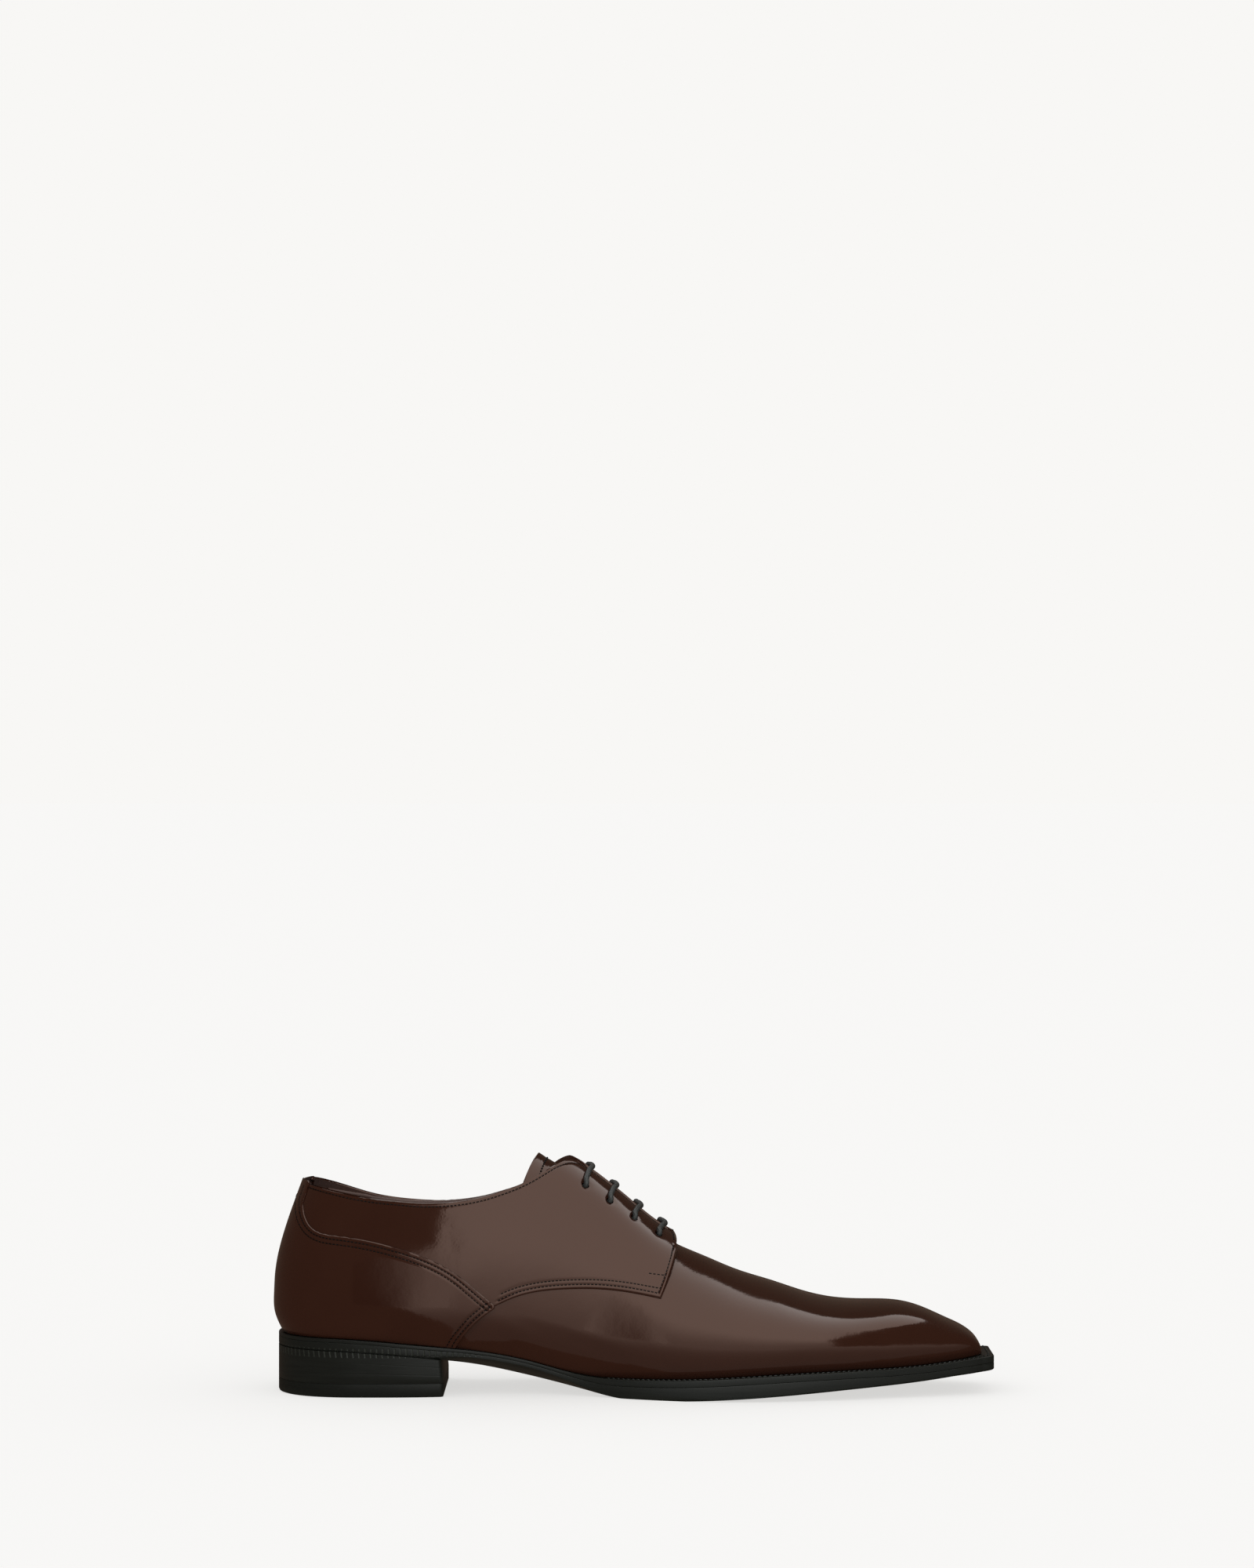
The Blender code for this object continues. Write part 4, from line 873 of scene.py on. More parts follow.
def punch(body, side):
    """Takes the round eyelets, square to the facing, out of a quarter."""
    turn = np.arange(PUNCH_TURNS) * 2 * math.pi / PUNCH_TURNS
    points, faces = [], []
    for number, x in enumerate(eyelet_places):
        here, normal, ahead = eyelet(side, x)
        circle = np.cos(turn)[:, None] * ahead + np.sin(turn)[:, None] * np.cross(normal, ahead)
        points += [here + EYELET_RADIUS * circle + reach * normal for reach in (2.5, -6.0)]
        low = np.arange(PUNCH_TURNS) + 2 * number * PUNCH_TURNS
        high = low + PUNCH_TURNS
        faces += np.stack([low, np.roll(low, -1), np.roll(high, -1), high], axis=-1).tolist()
        faces += [low.tolist(), high[::-1].tolist()]
    mesh = bpy.data.meshes.new("punch")
    mesh.from_pydata(((np.concatenate(points) - (0.0, sole_middle, 0.0)) * MM).tolist(), [], faces)
    mesh.materials.append(calf)
    work = bmesh.new()
    work.from_mesh(mesh)
    bmesh.ops.recalc_face_normals(work, faces=work.faces)
    work.to_mesh(mesh)
    work.free()
    cutter = bpy.data.objects.new("punch", mesh)
    bpy.context.scene.collection.objects.link(cutter)
    change = body.modifiers.new("punch", "BOOLEAN")
    change.operation, change.solver, change.object = "DIFFERENCE", "EXACT", cutter
    made = bpy.data.meshes.new_from_object(body.evaluated_get(bpy.context.evaluated_depsgraph_get()))
    body.modifiers.clear()
    old, body.data = body.data, made
    bpy.data.meshes.remove(old)
    bpy.data.objects.remove(cutter)


for side, word in SIDE_NAMES.items():
    make_quarter("quarter_" + word, side)


# Heel counter
# One piece of calf wrapped round the heel, with a back strap up to the topline, sewn over both quarters
# and over the vamp with two rows of stitches.
STRAP_RISE = 0.5
COUNTER_LAP = 0.7  # how far it laps over the quarters
COUNTER_SUNK = 0.1  # how far its edge is let into them
COUNTER_EDGE = 2.5  # width of that edge


def counter_over(side, g, t):
    return np.full(np.broadcast(g, t).shape, GAP + OVERLAY + COUNTER_STEP)


def on_counter(side, pairs, over=0.0):
    g, t = line_at(pairs[..., 0]), pairs[..., 1]
    return pulled(side, g, t, counter_over(side, g, t) + over)


def counter_edges(side, inside=0.0):
    """The counter's upper edge and its front edge, or lines that far inside them."""
    grow = GAP + OVERLAY
    seam, strap = counter_edge(side, grow, aside=inside - COUNTER_LAP)
    shank = drawn(side, SHANK_SEAM, 160, grow, aside=inside - COUNTER_LAP)
    return seam, strap, shank


def counter_rows(side):
    rows = {}
    for key, inside in (("first", STITCH_IN), ("second", STITCH_IN + ROW_GAP)):
        seam, _, shank = counter_edges(side, inside)
        rows["top_" + key], rows["front_" + key] = seam[10:-4], shank[6:-8]
    return rows


def make_counter():
    """Both halves of the counter in one grid, from the medial front edge round the back to the lateral
    one."""
    parts = {"cells": [], "side": [], "rim": [], "grooves": []}
    for side in (MEDIAL, LATERAL):
        seam, strap, shank = counter_edges(side)
        middle, tab, hook = float(run_of(np.array(-1.0))), seam[0][0], seam[strap - 1][0]
        crown_run = np.linspace(middle, tab, 60)
        peak = topline_height(side, x_of(COUNTER_SEAM[0][0])) + STRAP_RISE
        crown = np.stack([crown_run, t_at_height(side, line_at(crown_run), peak, GAP + OVERLAY)], axis=-1)
        edge = np.concatenate([crown[-1:], seam[1:strap]])
        top = np.concatenate([
            resampled(crown, 120)[:-1], resampled(edge, 180)[:-1], resampled(seam[strap - 1:], 600),
        ])
        top = eased(top, 9)
        foot = middle + 0.7 * (tab - middle)
        base = np.concatenate([
            np.linspace(middle, foot, 120)[:-1], np.linspace(foot, hook, 180)[:-1],
            np.linspace(hook, shank[-1][0], 600),
        ])
        bottom = np.stack([base, np.zeros(len(base))], axis=-1)
        left = np.stack([np.full(200, middle), np.linspace(0, top[0][1], 200)], axis=-1)
        right = resampled(shank[::-1], 200)
        right[0], right[-1] = bottom[-1], top[-1]
        u = np.concatenate([np.linspace(0, 0.96, 150), 1 - 0.04 * (1 - np.linspace(0, 1, 18)[1:]) ** 2])
        length = np.linalg.norm(
            on_counter(side, on_line(top, u)) - on_counter(side, on_line(bottom, u)), axis=-1) * 1.05
        close = NEAR_EDGE[::-1] / length[:, None]
        v = np.concatenate([np.linspace(0, 1, 44) * (1 - close[:, :1]), 1 - close[:, 1:]], axis=-1)
        u = np.broadcast_to(u[:, None], v.shape)
        cells = coons(bottom, top, left, right, u, v)
        face = on_counter(side, cells)
        outline = fine(on_counter(side, np.concatenate([top, shank[1:]])), 0.25)
        rim = away(face, outline)
        grooves = np.zeros(rim.shape)
        for row in counter_rows(side).values():
            grooves += GROOVE * np.exp(-((away(face, fine(on_counter(side, row), 0.4)) / GROOVE_WIDTH) ** 2))
        for key, value in (("cells", cells), ("side", np.full(rim.shape, side)), ("rim", rim),
                           ("grooves", grooves)):
            parts[key].append(value)
    joined = {key: np.concatenate([pair[0][::-1], pair[1][1:]]) for key, pair in parts.items()}
    g, t, side = line_at(joined["cells"][..., 0]), joined["cells"][..., 1], joined["side"]
    roll = np.sqrt(1 - np.clip(1 - joined["rim"] / FOLD, 0, 1) ** 2)
    grids = []
    for key in ("outer", "inner"):
        points = np.zeros(g.shape + (3,))
        for one in (MEDIAL, LATERAL):
            here = side == one
            low = np.where(joined["rim"] < COUNTER_EDGE, GAP + OVERLAY - COUNTER_SUNK, GAP)[here]
            high = low + (GAP + OVERLAY + COUNTER_STEP - low) * roll[here] - joined["grooves"][here]
            points[here] = pulled(one, g[here], t[here], high if key == "outer" else np.minimum(low, high))
        grids.append(seated(points))
    points, faces, kinds = thick(*grids)
    return piece("counter", points, faces, [calf, lining], ["counter"], kinds)


make_counter()


# Insole
# The foot rests on a full sock of lining calf, laid over the insole and its filling inside the welt.
INSOLE_RISE = 1.5
INSOLE_INSET = 2.6
WELT = 2.8
HEEL_LENGTH = 71.0
BREAST_RAKE = 1.0
TOP_PIECE = 5.5
SOLE_COLUMNS = ("station", "welt", "edge", "tread_heel", "tread_toe", "bevel")
SOLE = (
    (0.000, 0.50, 0.65, 1.163, 0.00, 0.00), (0.123, 0.50, 0.65, 1.108, 0.00, 0.00),
    (0.194, 0.50, 0.56, 1.003, 0.00, 0.00), (0.234, 0.47, 0.45, 0.920, 0.00, 0.10),
    (0.274, 0.44, 0.37, 0.767, 0.00, 0.75), (0.320, 0.44, 0.36, 0.581, 0.00, 1.00),
    (0.361, 0.44, 0.36, 0.407, 0.00, 1.00), (0.405, 0.52, 0.45, 0.227, 0.00, 0.85),
    (0.445, 0.80, 0.72, 0.095, 0.00, 0.40), (0.475, 0.98, 0.93, 0.015, 0.00, 0.05),
    (0.500, 1.00, 1.00, -0.020, 0.00, 0.00), (0.540, 1.00, 1.00, -0.020, 0.00, 0.00),
    (0.600, 1.00, 1.00, 0.000, 0.05, 0.00), (0.660, 1.00, 1.00, 0.000, 0.18, 0.00),
    (0.728, 1.00, 1.00, 0.000, 0.355, 0.00), (0.815, 1.00, 1.00, 0.000, 0.585, 0.00),
    (0.902, 1.00, 1.00, 0.000, 0.835, 0.00), (1.000, 1.00, 1.00, 0.000, 1.320, 0.00),
)


def plan_x(g):
    """X of a station line at the feather line."""
    return np.where(g < 0, X_STRAIGHT - HEEL_DEPTH * oval(g)[0], along(g, 0))


def sole_value(name, g):
    return looked_up(SOLE_COLUMNS, SOLE, name, station_of(plan_x(g)))


def feather(side, g):
    return feather_height(side, plan_x(g))


def welt_bottom(side, g):
    return feather(side, g) - WELT * sole_value("welt", g)


def tread(side, g):
    """The sole's underside: the heel's and the toe's rise together, never under the floor."""
    height = HEEL_RISE * sole_value("tread_heel", g) + TOE_SPRING * sole_value("tread_toe", g)
    return np.maximum(height, 0.0)


def edge_bottom(side, g):
    return np.maximum(feather(side, g) - BALL_SEAT * sole_value("edge", g), tread(side, g) + 0.5)


def loop(lines, width, height):
    """A loop of points round the sole: lateral side from the back to the tip, then back along the medial
    side. width is how far out of the last it runs and height its place over the floor, both functions of
    side and g."""
    halves = []
    for side, g in ((LATERAL, lines), (MEDIAL, lines[:0:-1])):
        points = lasted(side, g, 0.0, width(side, g))
        points[..., 2] = height(side, g)
        halves.append(points)
    return np.concatenate(halves)


def stack(rings, hollow=False):
    """Points and faces through loops of equal length. Its two ends are closed by strips across the loop,
    or, when it is hollow, its last loop joins its first."""
    n = len(rings[0])
    numbers = np.arange(len(rings) * n).reshape(len(rings), n)
    if hollow:
        numbers = np.concatenate([numbers, numbers[:1]])
    faces = [quads(np.concatenate([numbers, numbers[:, :1]], axis=1))]
    if not hollow:
        for end in (numbers[0], numbers[-1]):
            faces.append(quads(np.stack([end[:(n + 1) // 2], np.roll(end[::-1], 1)[:(n + 1) // 2]])))
    return np.concatenate(rings), np.concatenate(faces)


def edge_map(rings):
    """UV in metres: length round each loop, and height."""
    maps = []
    for ring in rings:
        step = np.linalg.norm(np.diff(ring, axis=0, append=ring[:1])[:, :2], axis=1)
        maps.append(np.stack([np.cumsum(step) - step, ring[:, 2]], axis=-1) * MM)
    return np.concatenate(maps)


sole_lines = np.unique(np.concatenate([
    np.linspace(-1, 0, 60, endpoint=False), np.linspace(0, 1, 170, endpoint=False),
    1 + np.linspace(0, 1, 34),
]))


def inner_width(side, g):
    return -INSOLE_INSET + 0 * g


insole_rings = []
for inward, drop in ((9.0, 0.0), (4.0, 0.05), (1.2, 0.15), (0.4, 0.35), (0.0, 0.8)):
    insole_rings.append(loop(
        sole_lines, lambda side, g, inward=inward: inner_width(side, g) - inward,
        lambda side, g, drop=drop: feather(side, g) + INSOLE_RISE - drop,
    ))
insole_rings.append(loop(sole_lines, inner_width, welt_bottom))
insole_points, insole_faces = stack(insole_rings)
piece("insole", insole_points, insole_faces, [lining], ["insole"])


# Welt
# A strip of black leather sewn round the upper from waist to waist and thinned round the heel. Its edge
# is trimmed flush with the outsole, ironed and waxed.
EDGE_ROUND = 0.2


def waxed_edge(name, ticks=False):
    """Black edge dressing over leather fibre: a satin film with faint horizontal streaks, and at the heel
    seat the fine upright marks of a wheel, coloured lighter than the edge between them."""
    made, tree, shader = new_material(name)
    place = node(tree, "ShaderNodeTexCoord").outputs["Object"]
    flat = node(tree, "ShaderNodeMapping", {"Vector": place, "Scale": (60.0, 60.0, 900.0)})
    streaks = node(tree, "ShaderNodeTexNoise", {
        "Vector": flat.outputs["Vector"], "Scale": 1.0, "Detail": 3.0,
    })
    color = node(tree, "ShaderNodeMix", {"Factor": streaks.outputs["Fac"]}, data_type="RGBA")
    color.inputs[6].default_value, color.inputs[7].default_value = srgb("0F110E"), srgb("1A1C18")
    bump = node(tree, "ShaderNodeBump", {
        "Height": streaks.outputs["Fac"], "Strength": 0.1, "Distance": 0.0003,
    })
    last = bump
    if ticks:
        uv = node(tree, "ShaderNodeUVMap", uv_map="edge")
        parts = node(tree, "ShaderNodeSeparateXYZ", {"Vector": uv.outputs["UV"]})
        turn = node(tree, "ShaderNodeMath", {0: parts.outputs["X"], 1: TICK_PITCH * MM},
                    operation="PINGPONG")
        mark = node(tree, "ShaderNodeMapRange", {
            "Value": turn.outputs["Value"], "From Min": 0.0, "From Max": TICK_PITCH * MM * 0.35,
        })
        low = node(tree, "ShaderNodeMapRange", {
            "Value": parts.outputs["Y"], "From Min": (TICK_HEIGHT - 0.4) * MM,
            "From Max": (TICK_HEIGHT + 0.2) * MM,
        })
        high = node(tree, "ShaderNodeMapRange", {
            "Value": parts.outputs["Y"], "From Min": (TICK_HEIGHT + TICK_LENGTH + 0.2) * MM,
            "From Max": (TICK_HEIGHT + TICK_LENGTH - 0.4) * MM,
        })
        band = node(tree, "ShaderNodeMath", {0: low.outputs["Result"], 1: high.outputs["Result"]},
                    operation="MULTIPLY")
        inverse = node(tree, "ShaderNodeMath", {0: 1.0, 1: mark.outputs["Result"]}, operation="SUBTRACT")
        pressed = node(tree, "ShaderNodeMath", {0: inverse.outputs["Value"], 1: band.outputs["Value"]},
                       operation="MULTIPLY")
        last = node(tree, "ShaderNodeBump", {
            "Height": pressed.outputs["Value"], "Strength": 0.8, "Distance": 0.00025,
            "Normal": bump.outputs["Normal"],
        })
        last.invert = True
        # The wheel's marks are drawn in a lighter colour than the edge between them.
        lighter_tone = node(tree, "ShaderNodeMix", {"Factor": pressed.outputs["Value"], 6: color.outputs["Result"]},
                    data_type="RGBA")
        lighter_tone.inputs[7].default_value = srgb("2C2F29")
        color = lighter_tone
    tree.links.new(color.outputs["Result"], shader.inputs["Base Color"])
    tree.links.new(last.outputs["Normal"], shader.inputs["Normal"])
    shader.inputs["Roughness"].default_value = 0.4
    shader.inputs["IOR"].default_value = 1.5
    shader.inputs["Specular IOR Level"].default_value = 0.3
    return made


TICK_PITCH = 1.25  # marks of the wheel round the heel seat
TICK_LENGTH = 3.8
TICK_HEIGHT = 17.2
edge_wax = waxed_edge("waxed_edge")
heel_wax = waxed_edge("waxed_heel_edge", ticks=True)


def rounded_edge(top, bottom, width, inner_top, inner_bottom):
    """Rings of a band whose outer corners are rounded: out from inner_top, down the edge, in to
    inner_bottom."""

    def less(line, share):
        return lambda side, g: line(side, g) - corner_radius(top, bottom, side, g) * share

    turns = np.linspace(0, math.pi / 2, 5)
    rings = [loop(sole_lines, inner_top, top)]
    for turn in turns:
        rings.append(loop(sole_lines, less(width, 1 - math.sin(turn)), less(top, 1 - math.cos(turn))))
    for turn in turns:
        rings.append(loop(sole_lines, less(width, 1 - math.cos(turn)), less(bottom, math.sin(turn) - 1)))
    rings.append(loop(sole_lines, inner_bottom, bottom))
    return rings


def corner_radius(top, bottom, side, g):
    return np.minimum(EDGE_ROUND, 0.3 * (top(side, g) - bottom(side, g)))


def sole_width(side, g):
    return edge_width(side, plan_x(g))


welt_rings = rounded_edge(
    feather, welt_bottom, sole_width,
    lambda side, g: inner_width(side, g) + GAP, lambda side, g: inner_width(side, g) + GAP,
)
welt_points, welt_faces = stack(welt_rings, hollow=True)
piece("welt", welt_points, welt_faces, [edge_wax], ["welt"])


# Outsole
# One black leather sole from toe to heel, sewn to the welt. Its edge is trimmed close at the waist, where
# the underside is bevelled, and its tread is stained and burnished.
BEVEL_WIDTH = 11.0

tread_leather, tread_tree, tread_shader = new_material("burnished_tread")
tread_place = node(tread_tree, "ShaderNodeTexCoord").outputs["Object"]
tread_fibres = node(tread_tree, "ShaderNodeTexNoise", {"Vector": tread_place, "Scale": 420.0, "Detail": 4.0})
tread_color = node(tread_tree, "ShaderNodeMix", {"Factor": tread_fibres.outputs["Fac"]}, data_type="RGBA")
tread_color.inputs[6].default_value = srgb("181917")
tread_color.inputs[7].default_value = srgb("272826")
tread_bump = node(tread_tree, "ShaderNodeBump", {
    "Height": tread_fibres.outputs["Fac"], "Strength": 0.2, "Distance": 0.0003,
})
tread_tree.links.new(tread_color.outputs["Result"], tread_shader.inputs["Base Color"])
tread_tree.links.new(tread_bump.outputs["Normal"], tread_shader.inputs["Normal"])
tread_shader.inputs["Roughness"].default_value = 0.45


def bevel_width(side, g, share=1.0):
    return sole_width(side, g) - (0.5 + BEVEL_WIDTH * np.clip(sole_value("bevel", g), 0, 1)) * share


def bevelled(share):
    """A loop on the waist's bevel, at a share of the way from the sole's edge to its tread, a little
    rounded."""
    drop = share ** 0.8
    return loop(
        sole_lines, lambda side, g: bevel_width(side, g, share),
        lambda side, g: edge_bottom(side, g) + (tread(side, g) - edge_bottom(side, g)) * drop,
    )


def outsole_top(side, g):
    return welt_bottom(side, g) - 0.08


outsole_rings = rounded_edge(
    outsole_top, edge_bottom, sole_width,
    lambda side, g: sole_width(side, g) - 3.0, lambda side, g: bevel_width(side, g, 0.12),
)[:-1]
outsole_rings += [bevelled(share) for share in (0.12, 0.3, 0.5, 0.75, 1.0)]
outsole_points, outsole_faces = stack(outsole_rings)
outsole_kinds = np.zeros(len(outsole_faces))
outsole_kinds[-len(outsole_rings[0]) // 2:] = 1
piece("outsole", outsole_points, outsole_faces, [heel_wax, tread_leather], ["outsole"],
      outsole_kinds, uv=edge_map(outsole_rings))


# Heel
# Lifts of leather, pegged and glued, rasped flush with the sole and waxed. The joints between the lifts
# show as faint lines, and a wheel has marked the seat.
LIFTS = 3
LIFT_GROOVE = 0.035
HEEL_TOP_GAP = 0.08
HEEL_CORNER = 1.2  # radius of the corners of its breast


def heel_line_set(height):
    """Station lines of the heel at a height, ending at its raked breast."""
    back = X_BACK + OVERLAY + GAP + COUNTER_STEP
    breast = back + HEEL_LENGTH + BREAST_RAKE * (1 - height / HEEL_RISE)
    lines = np.linspace(-1, 0, 60, endpoint=False)
    end = float(g_of(breast, 0.0))
    return np.concatenate([lines, end * np.linspace(0, 1, 40)])


def heel_width(lines, inset):
    """Width of the heel along its station lines, that far inset, with the corners of its breast rounded."""
    left = (lines[-1] - lines) * (X_CORNER - X_STRAIGHT)
    nose = HEEL_CORNER * (1 - np.sqrt(1 - np.clip(1 - left / HEEL_CORNER, 0, 1) ** 2))

    def width(side, g):
        return sole_width(side, g) - inset - (nose if len(g) == len(nose) else nose[:0:-1])

    return width


def heel_ring(height, inset):
    """A loop round the heel at a share of its height, 1 at the seat and 0 at the top piece, that far inset,
    with the two corners of its breast rounded."""
    lines = heel_line_set(HEEL_RISE * height)
    base = TOP_PIECE + GAP
    return loop(
        lines, heel_width(lines, inset),
        lambda side, g: base + (tread(side, g) - HEEL_TOP_GAP - base) * height,
    )


heel_levels = [(1.0, 0.5), (1.0, 0.0), (0.985, 0.0)]
for joint in range(LIFTS - 1, 0, -1):
    at = joint / LIFTS
    heel_levels += [
        (at + 0.03, 0.0), (at + 0.01, 0.0), (at, LIFT_GROOVE), (at - 0.01, 0.0), (at - 0.03, 0.0),
    ]
heel_levels += [(0.02, 0.0), (0.0, 0.15), (0.0, 1.0)]
heel_rings = [heel_ring(*pair) for pair in heel_levels]
heel_points, heel_faces = stack(heel_rings)
piece("heel", heel_points, heel_faces, [heel_wax], ["heel"], uv=edge_map(heel_rings), sharp=50)


# Top piece
# A rubber lift nailed and glued under the heel, moulded black and ground flush at its edge.
TOP_PIECE_CHAMFER = 1.0

rubber, rubber_tree, rubber_shader = new_material("moulded_rubber")
rubber_place = node(rubber_tree, "ShaderNodeTexCoord").outputs["Object"]
rubber_grit = node(rubber_tree, "ShaderNodeTexNoise", {
    "Vector": rubber_place, "Scale": 1200.0, "Detail": 2.0,
})
rubber_color = node(rubber_tree, "ShaderNodeMix", {"Factor": rubber_grit.outputs["Fac"]}, data_type="RGBA")
rubber_color.inputs[6].default_value = srgb("0F110E")
rubber_color.inputs[7].default_value = srgb("161814")
rubber_bump = node(rubber_tree, "ShaderNodeBump", {
    "Height": rubber_grit.outputs["Fac"], "Strength": 0.2, "Distance": 0.0002,
})
rubber_tree.links.new(rubber_color.outputs["Result"], rubber_shader.inputs["Base Color"])
rubber_tree.links.new(rubber_bump.outputs["Normal"], rubber_shader.inputs["Normal"])
rubber_shader.inputs["Roughness"].default_value = 0.5
rubber_shader.inputs["Specular IOR Level"].default_value = 0.25


def top_piece_ring(height, inset):
    lines = heel_line_set(0.0)
    return loop(lines, heel_width(lines, inset), lambda side, g: height + 0 * g)


top_piece_rings = [top_piece_ring(*pair) for pair in (
    (TOP_PIECE + GAP - 0.06, 1.0), (TOP_PIECE + GAP - 0.06, 0.06), (TOP_PIECE + 0.12, 0.0),
    (TOP_PIECE_CHAMFER, 0.0), (0.25, 0.35), (0.0, TOP_PIECE_CHAMFER),
)]
top_piece_points, top_piece_faces = stack(top_piece_rings)
piece("top_piece", top_piece_points, top_piece_faces, [rubber], ["top_piece"], sharp=50)


# Stitching
# Waxed linen thread, about sixteen stitches to the inch on the upper, drawn a little into the leather. The
# welt's stitches are coarser and lie on its top.
STITCH_PITCH = 1.6
STITCH_LENGTH = 1.05
THREAD = 0.38

thread, thread_tree, thread_shader = new_material("waxed_linen_thread")
thread_place = node(thread_tree, "ShaderNodeTexCoord").outputs["Object"]
thread_twist = node(thread_tree, "ShaderNodeTexNoise", {
    "Vector": thread_place, "Scale": 2500.0, "Detail": 1.0,
})
thread_color = node(thread_tree, "ShaderNodeMix", {"Factor": thread_twist.outputs["Fac"]}, data_type="RGBA")
thread_color.inputs[6].default_value = srgb("060302")
thread_color.inputs[7].default_value = srgb("0E0704")
thread_tree.links.new(thread_color.outputs["Result"], thread_shader.inputs["Base Color"])
thread_shader.inputs["Roughness"].default_value = 0.6
thread_shader.inputs["Specular IOR Level"].default_value = 0.15

STITCH_TURNS = 6
stitch_along = np.array([-0.5, -0.46, -0.25, 0.0, 0.25, 0.46, 0.5])
stitch_size = np.array([0.02, 0.7, 1.0, 1.0, 1.0, 0.7, 0.02])
stitch_rise = np.array([-0.9, -0.25, 0.35, 0.5, 0.35, -0.25, -0.9])


def stitches(line, normals, pitch, length, radius):
    """Stitches along a line on a surface: each is a spindle whose middle stands out of the surface and
    whose ends sink into it. Worked out as one array of stitches by rings by turns."""
    run = np.concatenate([[0], np.cumsum(np.linalg.norm(np.diff(line, axis=0), axis=1))])
    count = max(int(run[-1] / pitch), 1)
    middle = (np.arange(count) + 0.5) * run[-1] / count
    at = middle[:, None] + stitch_along * length
    def on(values, s):
        return np.stack([np.interp(s, run, values[:, k]) for k in range(3)], axis=-1)
    centre, up = on(line, at), on(normals, at)
    ahead = on(line, at + 0.2) - on(line, at - 0.2)
    ahead /= np.linalg.norm(ahead, axis=-1)[..., None]
    up -= ahead * (up * ahead).sum(-1)[..., None]
    up /= np.linalg.norm(up, axis=-1)[..., None]
    across = np.cross(up, ahead)
    centre = centre + up * (stitch_rise * radius)[:, None]
    turn = np.arange(STITCH_TURNS) * 2 * math.pi / STITCH_TURNS
    size = (radius * stitch_size)[:, None, None]
    rings = centre[:, :, None] + size * (
        np.cos(turn)[:, None] * across[:, :, None] + np.sin(turn)[:, None] * up[:, :, None]
    )
    return rings


def stitch_mesh(sets):
    """Points and faces of closed spindles from arrays of stitches by rings by turns."""
    rings = np.concatenate(sets)
    count, m, n = rings.shape[:3]
    numbers = np.arange(count * m * n).reshape(count, m, n)
    around = np.concatenate([numbers, numbers[:, :, :1]], axis=2)
    sides = np.stack([
        around[:, :-1, :-1], around[:, 1:, :-1], around[:, 1:, 1:], around[:, :-1, 1:]], -1).reshape(-1, 4)
    ends = []
    for ring in (numbers[:, 0, ::-1], numbers[:, -1]):
        ends.append(np.stack([ring[:, 0], ring[:, 1], ring[:, 2], ring[:, 3]], -1))
        ends.append(np.stack([ring[:, 0], ring[:, 3], ring[:, 4], ring[:, 5]], -1))
    return rings.reshape(-1, 3), np.concatenate([sides] + ends)


def row_on(placed, side, pairs, over):
    """Stitches along (run, t) pairs on a piece's surface, with its normals from the slopes along and
    across."""
    here = placed(side, pairs, over)
    ahead = placed(side, pairs + (0.4, 0), over) - placed(side, pairs - (0.4, 0), over)
    up_side = placed(side, pairs + (0, 0.004), over) - placed(side, pairs - (0, 0.004), over)
    normals = np.cross(up_side, ahead) * -side
    normals /= np.linalg.norm(normals, axis=-1)[:, None]
    return stitches(here, normals, STITCH_PITCH, STITCH_LENGTH, THREAD)


upper_stitches = []
for side in (MEDIAL, LATERAL):
    for pairs in quarter_rows(side).values():
        upper_stitches.append(row_on(on_quarter, side, pairs, -GROOVE))
    for pairs in counter_rows(side).values():
        upper_stitches.append(row_on(on_counter, side, pairs, -GROOVE))
row_share = np.concatenate([np.linspace(0.60, 0.925, 40), np.full(60, 0.933), np.linspace(0.925, 0.60, 40)])
row_across = np.concatenate([np.full(40, -0.83), np.linspace(-0.82, 0.82, 60), np.full(40, 0.83)])
tongue_row = tongue_point(row_share, row_across, 0.16)
tongue_up = np.cross(
    tongue_point(row_share - 0.01, row_across, 0.16) - tongue_point(row_share + 0.01, row_across, 0.16),
    tongue_point(row_share, row_across + 0.02, 0.16) - tongue_point(row_share, row_across - 0.02, 0.16),
)
tongue_up *= np.sign(tongue_up[:, 2:])
tongue_up /= np.linalg.norm(tongue_up, axis=-1)[:, None]
upper_stitches.append(stitches(tongue_row, tongue_up, STITCH_PITCH, STITCH_LENGTH, THREAD))
stitch_points, stitch_faces = stitch_mesh(upper_stitches)
piece("upper_stitches", stitch_points, stitch_faces, [thread], [])

WELT_PITCH = 2.3
WELT_STITCH = 1.7
WELT_THREAD = 0.3
WELT_INSET = 2.0  # from the edge of the welt
welt_lines = np.linspace(float(g_of(x_of(0.46), 0.0)), 2, 500)
welt_row = loop(
    welt_lines, lambda side, g: sole_width(side, g) - WELT_INSET,
    lambda side, g: feather(side, g) + 0.02,
)
welt_up = np.broadcast_to(np.array([0.0, 0.0, 1.0]), welt_row.shape)
welt_points, welt_faces = stitch_mesh([stitches(welt_row, welt_up, WELT_PITCH, WELT_STITCH, WELT_THREAD)])
piece("welt_stitches", welt_points, welt_faces, [edge_wax], [])


# Lace
# One round waxed cotton cord of 2 mm, drawn a little fuller and laced straight: four bars show over the
# throat, and its other runs lie under the facings. Both ends stop inside at the lateral top eyelet.
LACE_RADIUS = 1.15
BAR_LEAN = 3.4
BAR_OVER = 0.1
HIDDEN_ASIDE = 2.4  # how far a hidden run passes beside the eyelets
LACE_STEP = 0.35
LACE_TURNS = 16

